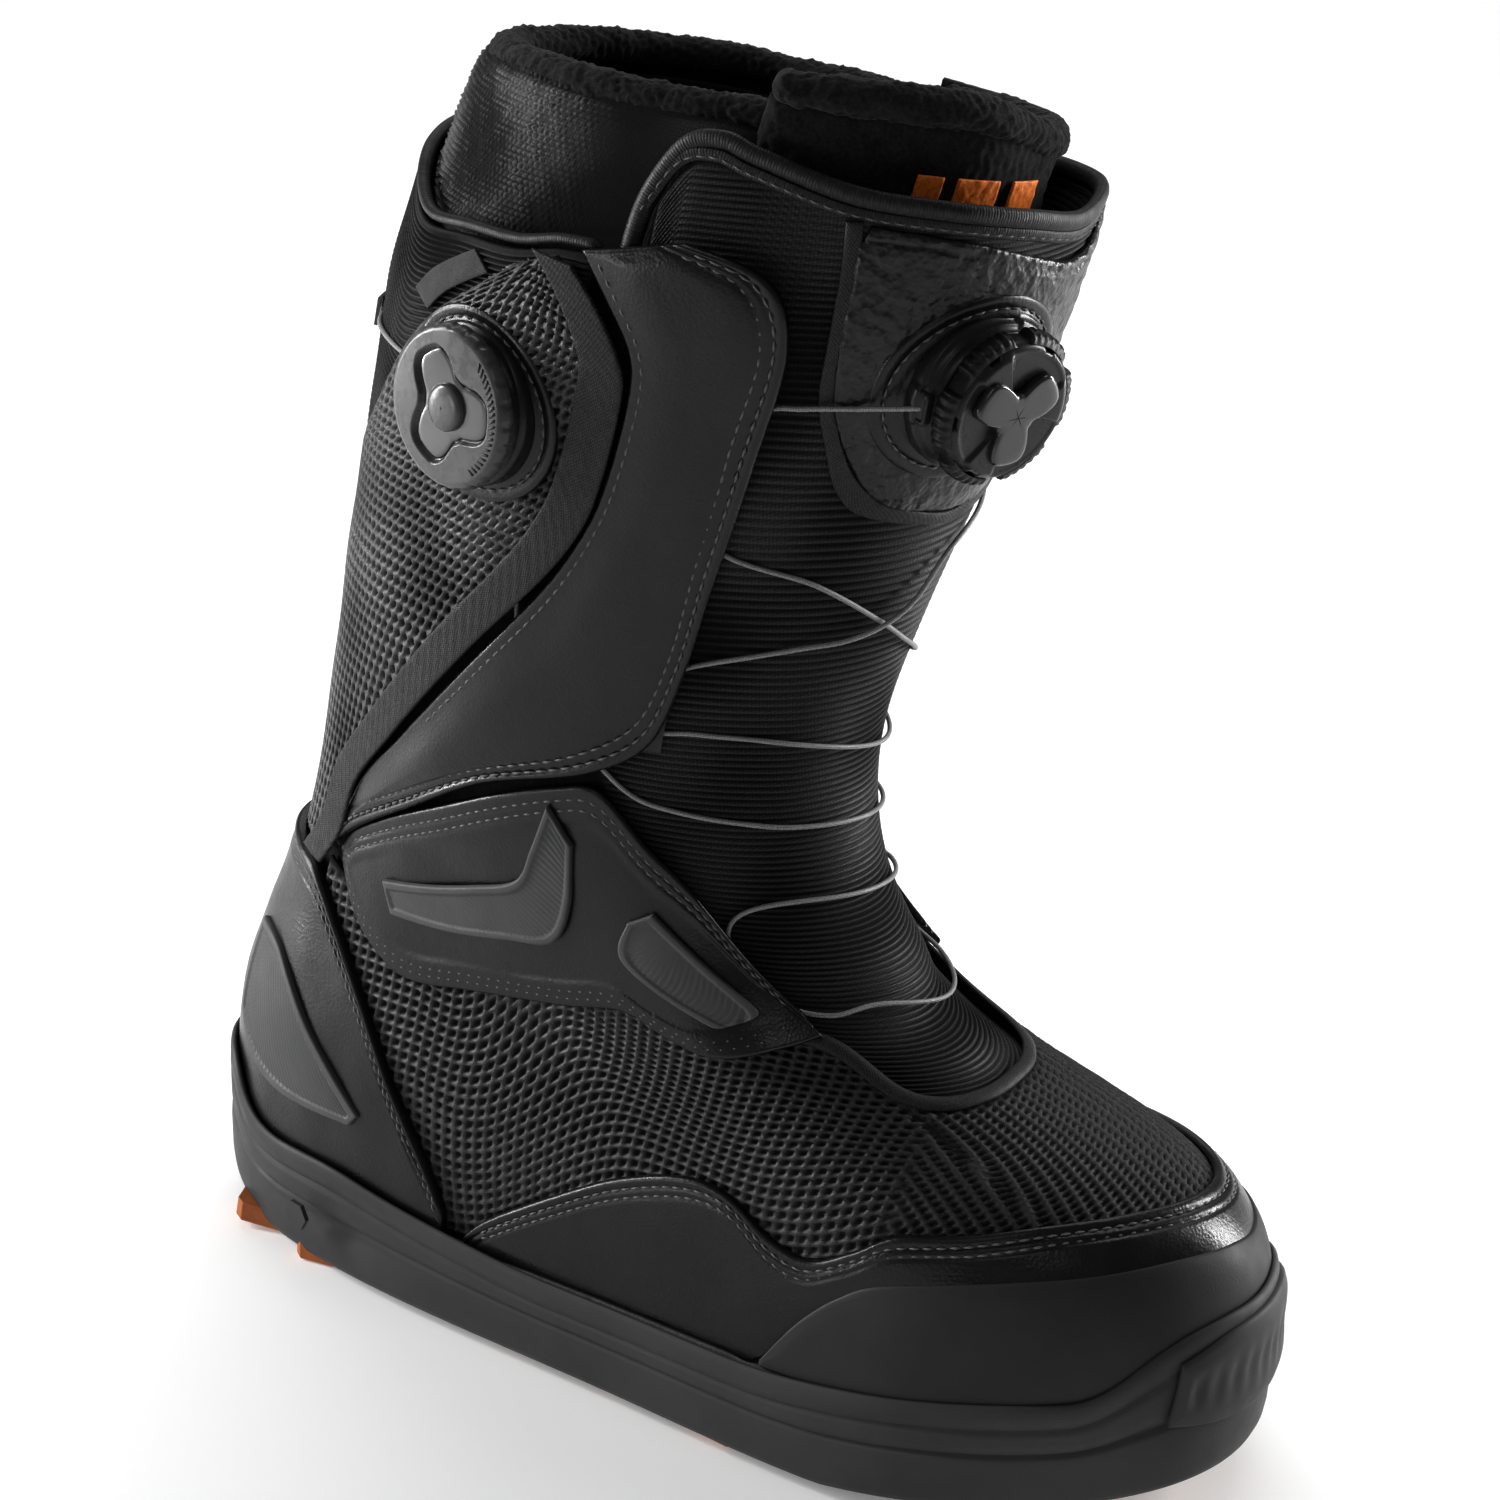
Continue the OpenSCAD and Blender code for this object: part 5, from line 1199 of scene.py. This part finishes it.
LOWER_1 = P2((.232, .852, .8), (.242, .8, .8), (.25, .74, .8), (.27, .695, .8), (.3, .665, .8), (.325, .64, .8),
    (.35, .632, .8), (.4, .626, .8), (.48, .62, .8), (.56, .61, .8), (.625, .603, .8), (.65, .597, .8),
    (.653, .58, .8), (.635, .552, .8), (.61, .545, .8), (.56, .553, .8), (.5, .563, .8), (.43, .568, .8),
    (.39, .56, .8), (.372, .54, .8), (.372, .505, .8), (.385, .478, .8), (.41, .47, .8), (.45, .477, .8),
    (.52, .46, .8), (.58, .462, .8), (.62, .478, .8), (.65, .52, .8), (.672, .575, .8), (.685, .64, .8),
    (.705, .68, .8), (.735, .72, .8), (.76, .78, .8), (.775, .83, .8), (.8, .866, .8), (.85, .87, .8), (.9, .868, .8),
    (.95, .866, .8), (1, .865, .8), (1.05, .866, .8), (1.1, .868, .8), (1.15, .866, .8), (1.168, .863, .75))


def lace(name, route, start, end, node):
    """Braided lace along a route over the skin, with given points inside the housing at both ends."""
    u = np.linspace(0, 1, 1400)
    q = curve(route, u)
    s, t = q[:, 0], q[:, 1]
    k = np.where(s > 1, 0, rise(s, .385, .42))  # the lace runs higher over the middle of the tongue
    p, n, _, _ = skin(s, t)
    p = p + n * (q[:, 2] + .7 * k)[:, None]
    c = curve(np.array(start + [tuple(p[0])]), np.linspace(0, 1, 60))[:-1]
    d = curve(np.array([tuple(p[-1])] + end), np.linspace(0, 1, 60))[1:]
    P = np.concatenate([c, p, d])
    N = np.concatenate([np.repeat(n[:1], len(c), 0), n, np.repeat(n[-1:], len(d), 0)])
    l = run(P)
    x = np.linspace(0, l[-1], int(l[-1] / .55))
    P, N = (np.stack([np.interp(x, l, q[:, i]) for i in range(3)], 1) for q in (P, N))
    tube(name, P, N, .52, .52, LACE, 16, node=node, twist=1.9, lobes=4, lobe=.22)


lace("upper_lace_braid", UPPER_1, [over(FRONT_AT, FA, y, 3.7) for y in (-8.3, -13, -17.5)],
     [over(FRONT_AT, FA, y, 3.7) for y in (17.5, 13, 8.3)], "upper_lace")
_e = [(8.3, 2.45), (10.4, 2.2), (11.3, .6), (11.3, -2.6)]
lace("lower_lace_braid", LOWER_1, [over(SIDE_AT, SA, y, z) for y, z in _e],
     [over(SIDE_AT, SA, -y, z) for y, z in _e[::-1]], "lower_lace")

# ------------------------------------------------------------------ liner
def liner_top(s):
    """Height t of the liner's rim."""
    return 1.03 + .03 * np.cos(PI2 * s) + .02 * np.sin(PI2 * s)


def ahead(s):
    """1 on the front of the boot, 0 elsewhere."""
    return smooth(np.abs(s % 1 - .5), .26, .12)


def at_wings(s):
    """The same, reaching round to where the tongue's wings lie."""
    return smooth(np.abs(s % 1 - .5), .34, .22)


def liner_out(s, t):
    """Height of the liner's outer face over the skin."""
    return -6 - 3 * ahead(s) * smooth(t, .36, .5) - 7 * at_wings(s) * smooth(t, .8, 1)


def foam(t):
    """Thickness of the liner's foam."""
    return 4.5 + 3.5 * smooth(t, .25, .5)


def up(s, r):
    """Height t of liner row r: 0 at the foot, 1 at the ankle, 2 at the rim."""
    return np.where(r <= 1, .0508 + .3102 * r, .3615 + (liner_top(s) - .3615) * (r - 1))


def tufts(p, U, V, pitch, depth, seed):
    """Knobbly knit: little knobs in staggered rows."""
    u, v = U / pitch, V / (pitch * .86)
    du = (u + .5 * (np.floor(v) % 2)) % 1 - .5
    dv = v % 1 - .5
    return depth * (1 - smooth(np.sqrt(du**2 + dv**2), .1, .55)) * (1 + .25 * waves(p, 5, seed))


def build_liner():
    # outer shell of the liner, closed over the foam
    n = 150
    s = ring_s(n)
    base = lambda o, d: with_z(at(s, np.zeros(n), o), plane_z(at(s, np.zeros(n), o)[:, 0]) - d)
    rows = [base(-9, -.4) * [.5, .3, 1], base(-9, -.4), base(-6.6, -3), at(s, np.full(n, .05), -6.0)]
    rows[0][:, 2] = plane_z(rows[0][:, 0]) + .4
    out = []
    for r in np.linspace(.04, 1.985, 46):
        t = up(s, np.full(n, r))
        p, nn, _, _ = skin(s, t)
        w = .35 * waves(p, 34, 31) + .25 * waves(p, 12, 32)
        out.append(p + nn * (liner_out(s, t) - .25 + .4 * w)[:, None])
    inn = []
    for r in np.linspace(1.985, .04, 24):
        t = up(s, np.full(n, r))
        inn.append(at(s, t, liner_out(s, t) - foam(t)))
    P = np.stack(rows + out + inn + [base(-12.5, -5.5), base(-12.5, -5.5) * [.5, .3, 1]], 1)
    P[:, -1, 2] = plane_z(P[:, -1, 0]) + 5.5
    ob = put("liner_shell_padded", P, quads(n, P.shape[1], close_u=True, flipped=True), None, BRUSHED, "boot",
             ["liner_sole", "liner_foot", "liner_shaft"])
    # fleece inside
    n, m = 300, 150
    s = ring_s(n)
    rr = np.concatenate([np.linspace(1.99, 1.0, 110), np.linspace(.98, .1, m - 110)])
    S, R = np.meshgrid(s, rr, indexing="ij")
    T = up(S, R)
    p, nn, _, _ = skin(S, T)
    seam = np.exp(-(((S - .135 + .5) % 1 - .5) * GIRTH / 1.6)**2) + np.exp(-((S - .865) * GIRTH / 1.6)**2)
    h = .55 * waves(p, 5.5, 33, 26) + .4 * waves(p, 2.6, 34, 26) + .8 * waves(p, 40, 35) + 1.6 * seam
    P = p + nn * (liner_out(S, T) - foam(T) - .9 + .5 * h)[..., None]
    b = at(s, np.zeros(n), -15.5)
    lows = [with_z(b * [k, k, 1], plane_z(b[:, 0] * k) + 7.8) for k in (1, .8, .5, .25, .04)]
    P = np.concatenate([P] + [q[:, None] for q in lows], 1)
    du = np.broadcast_to((s * GIRTH)[:, None], P.shape[:2])
    put("liner_inner_fleece", P, quads(n, P.shape[1], close_u=True, flipped=True),
        np.stack([du, np.broadcast_to(np.arange(P.shape[1])[None] * 1.7, P.shape[:2])], -1), FLEECE, "boot",
        "liner_lining")
    # knitted cuff outside, turning to brushed cloth towards the front
    S, R = np.meshgrid(np.linspace(-.31, .31, 540), np.linspace(1.55, 2.02, 150), indexing="ij")
    T = up(S, R)
    knit = lambda p, S, T, U, V, e: (tufts(p, U, V, 1.9, .8, 41) * smooth(np.abs(S), .235, .17)
                                     + .3 * waves(p, 30, 42) + .2)
    surface("liner_knit_cuff", S, T, lambda s, t: liner_out(s, t) + 1.2 - 1.0 * smooth(t - liner_top(s), -.006, .012),
            knit, KNIT, "liner_rear_cuff", 1.0, .8)
    # front wrap
    S, R = np.meshgrid(np.linspace(.345, .655, 260), np.linspace(1.2, 2.055, 215), indexing="ij")
    S = .5 + (S - .5) * (1 + .35 * smooth(R, 1.72, 2.0))
    T = up(S, R)
    wrap = lambda p, S, T, U, V, e: .45 * waves(p, 26, 43) + .14 * waves(p, 3, 44, 20) + .5 * smooth(e, 0, 6)
    surface("liner_front_wrap_fabric", S, T, lambda s, t: liner_out(s, np.minimum(t, 1)) + 2.6, wrap, BRUSHED,
            "liner_front_wrap", 1.6, 1.2)

    def roll(name, s, lift, out, radius, seed, closed, node=None):
        """Padded roll of fleece along the liner's rim."""
        n, k = len(s), 44
        t = liner_top(s) + (lift(s) if callable(lift) else lift)
        p, nn, _, _ = skin(s, t)
        c = p + nn * (liner_out(s, np.ones(n)) + out)[:, None]
        d = np.roll(c, -1, 0) - np.roll(c, 1, 0) if closed else np.gradient(c, axis=0)
        d /= np.linalg.norm(d, axis=1, keepdims=True)
        x = nn - d * (nn * d).sum(1, keepdims=True)
        x /= np.linalg.norm(x, axis=1, keepdims=True)
        y = np.cross(d, x)
        y *= np.sign(y[:, 2:])
        a = np.arange(k) * PI2 / k
        rim = np.cos(a)[None, :, None] * x[:, None] + np.sin(a)[None, :, None] * y[:, None]
        q0 = c[:, None] + radius * rim
        h = .2 * waves(q0, 9, seed, 20) + .3 * waves(q0, 2.2, seed + 1, 30) + .35 * waves(q0, 34, seed + 2)
        r = radius * (1 + .08 * np.cos(a * 2))[None] + .6 * h
        if not closed:
            e = np.minimum(np.arange(n), n - 1 - np.arange(n)) * .7 / radius
            r = r * np.sqrt(np.clip(1 - (1 - np.clip(e, .02, 1))**2, 0, 1))[:, None]
        P = c[:, None] + r[..., None] * rim
        turn = np.dot(np.cross(d[0], x[0]), y[0]) > 0
        uv = np.stack(np.broadcast_arrays((np.arange(n) * .65)[:, None], (a * 4.4)[None]), -1)
        ob = put(name, P, quads(n, k, close_u=closed, close_v=True, flipped=turn), uv, FLEECE, "boot", node)

    roll("liner_rim_roll", np.arange(640) / 640, .015, -4.4, 4.2, 51, True, "liner_rim")
    roll("liner_wrap_roll", np.linspace(.29, .7, 300), lambda s: .022 + .02 * smooth(s, .53, .4), -.4, 4.4, 61, False)
    # plain orange bars on the front wrap
    for i, (a0, a1) in enumerate(((.386, .404), (.414, .449), (.462, .492))):
        q = np.array([a0, (a0 + a1) / 2, a1])
        A, B = np.stack([q, liner_top(q) - .022], 1), np.stack([q, liner_top(q) + .001], 1)
        Panel(A, B, .8, .5, lambda s, t: liner_out(s, t) + 4.1, .25, lambda k: .1 * waves(k.p, 2, 61)).make(
            "liner_bar_%d" % i, ORANGE_PRINT)


build_liner()

# ------------------------------------------------------------------ floor, light, camera
def area(name, loc, to, size, power):
    """White rectangular light at loc that shines towards to."""
    l = bpy.data.lights.new(name, "AREA")
    l.shape, l.size, l.size_y = "RECTANGLE", size[0], size[1]
    l.energy = power
    o = bpy.data.objects.new(name, l)
    bpy.context.scene.collection.objects.link(o)
    o.location = loc
    o.rotation_euler = (Vector(to) - Vector(loc)).to_track_quat("-Z", "Y").to_euler()


def stage_and_camera():
    """Pale floor, soft strip lights and the camera; distances here are in metres."""
    me = bpy.data.meshes.new("floor")
    half = 6
    me.from_pydata([(-half, -half, 0), (half, -half, 0), (half, half, 0), (-half, half, 0)], [], [(0, 1, 2, 3)])
    floor = bpy.data.objects.new("floor", me)
    bpy.context.scene.collection.objects.link(floor)
    m = material("floor_pale", (.86, .86, .86), .75, .2)
    k = Nodes(m)
    k.mottle(900, 2, grey(.84), grey(.88))
    k.b.inputs["Emission Color"].default_value = (1, 1, 1, 1)
    k.b.inputs["Emission Strength"].default_value = .2
    me.materials.append(m)
    floor.location = (0, 0, -.0002)  # a little under the lugs
    a, e, r = (math.radians(v) for v in (29.10, 23.50, 2.824))  # the camera's azimuth, elevation and roll
    right = Vector((math.cos(a), math.sin(a), 0))
    back = Vector((math.sin(a) * math.cos(e), -math.cos(a) * math.cos(e), math.sin(e)))
    upv = back.cross(right)
    rx = right * math.cos(r) + upv * math.sin(r)
    uy = upv * math.cos(r) - right * math.sin(r)
    cam = bpy.data.cameras.new("camera")
    cam.sensor_width, cam.lens = 36, 85.34
    cam.clip_start, cam.clip_end = .05, 20
    o = bpy.data.objects.new("camera", cam)
    bpy.context.scene.collection.objects.link(o)
    target = Vector((-9.165, 18.627, 155.59)) * MM
    loc = target + back * 898.1 * MM
    o.matrix_world = Matrix(((rx.x, uy.x, back.x, loc.x), (rx.y, uy.y, back.y, loc.y), (rx.z, uy.z, back.z, loc.z),
                             (0, 0, 0, 1)))
    bpy.context.scene.camera = o
    t = Vector((0, 0, .15))  # the lights are set out from the camera's right and ahead of it, and shine here
    ahead_of = Vector((-right.y, right.x, 0))
    for name, across, along, z, size, power in (
            ("top", .1, .5, 1.7, (1.3, .35), 8), ("left", -1.2, .25, .45, (.12, .9), 21),
            ("left_low", -1.1, -.5, .2, (.4, .12), 2.2), ("right", 1.15, .35, .42, (.12, .85), 19),
            ("front", -.35, -1.5, 1.3, (.5, .9), 2.5)):
        area(name, right * across + ahead_of * along + Vector((0, 0, z)), t, size, power)
    area("floor_wash", ahead_of * 2.4 + Vector((0, 0, 1.9)), ahead_of * 2.7, (3.2, 2.0), 45)
    w = bpy.data.worlds.new("world")
    w.use_nodes = True
    w.node_tree.nodes["Background"].inputs[0].default_value = (1, 1, 1, 1)
    w.node_tree.nodes["Background"].inputs[1].default_value = .16
    bpy.context.scene.world = w
    bpy.context.scene.view_settings.view_transform = "Standard"
    bpy.context.scene.view_settings.gamma = .8


stage_and_camera()
bpy.context.view_layer.update()
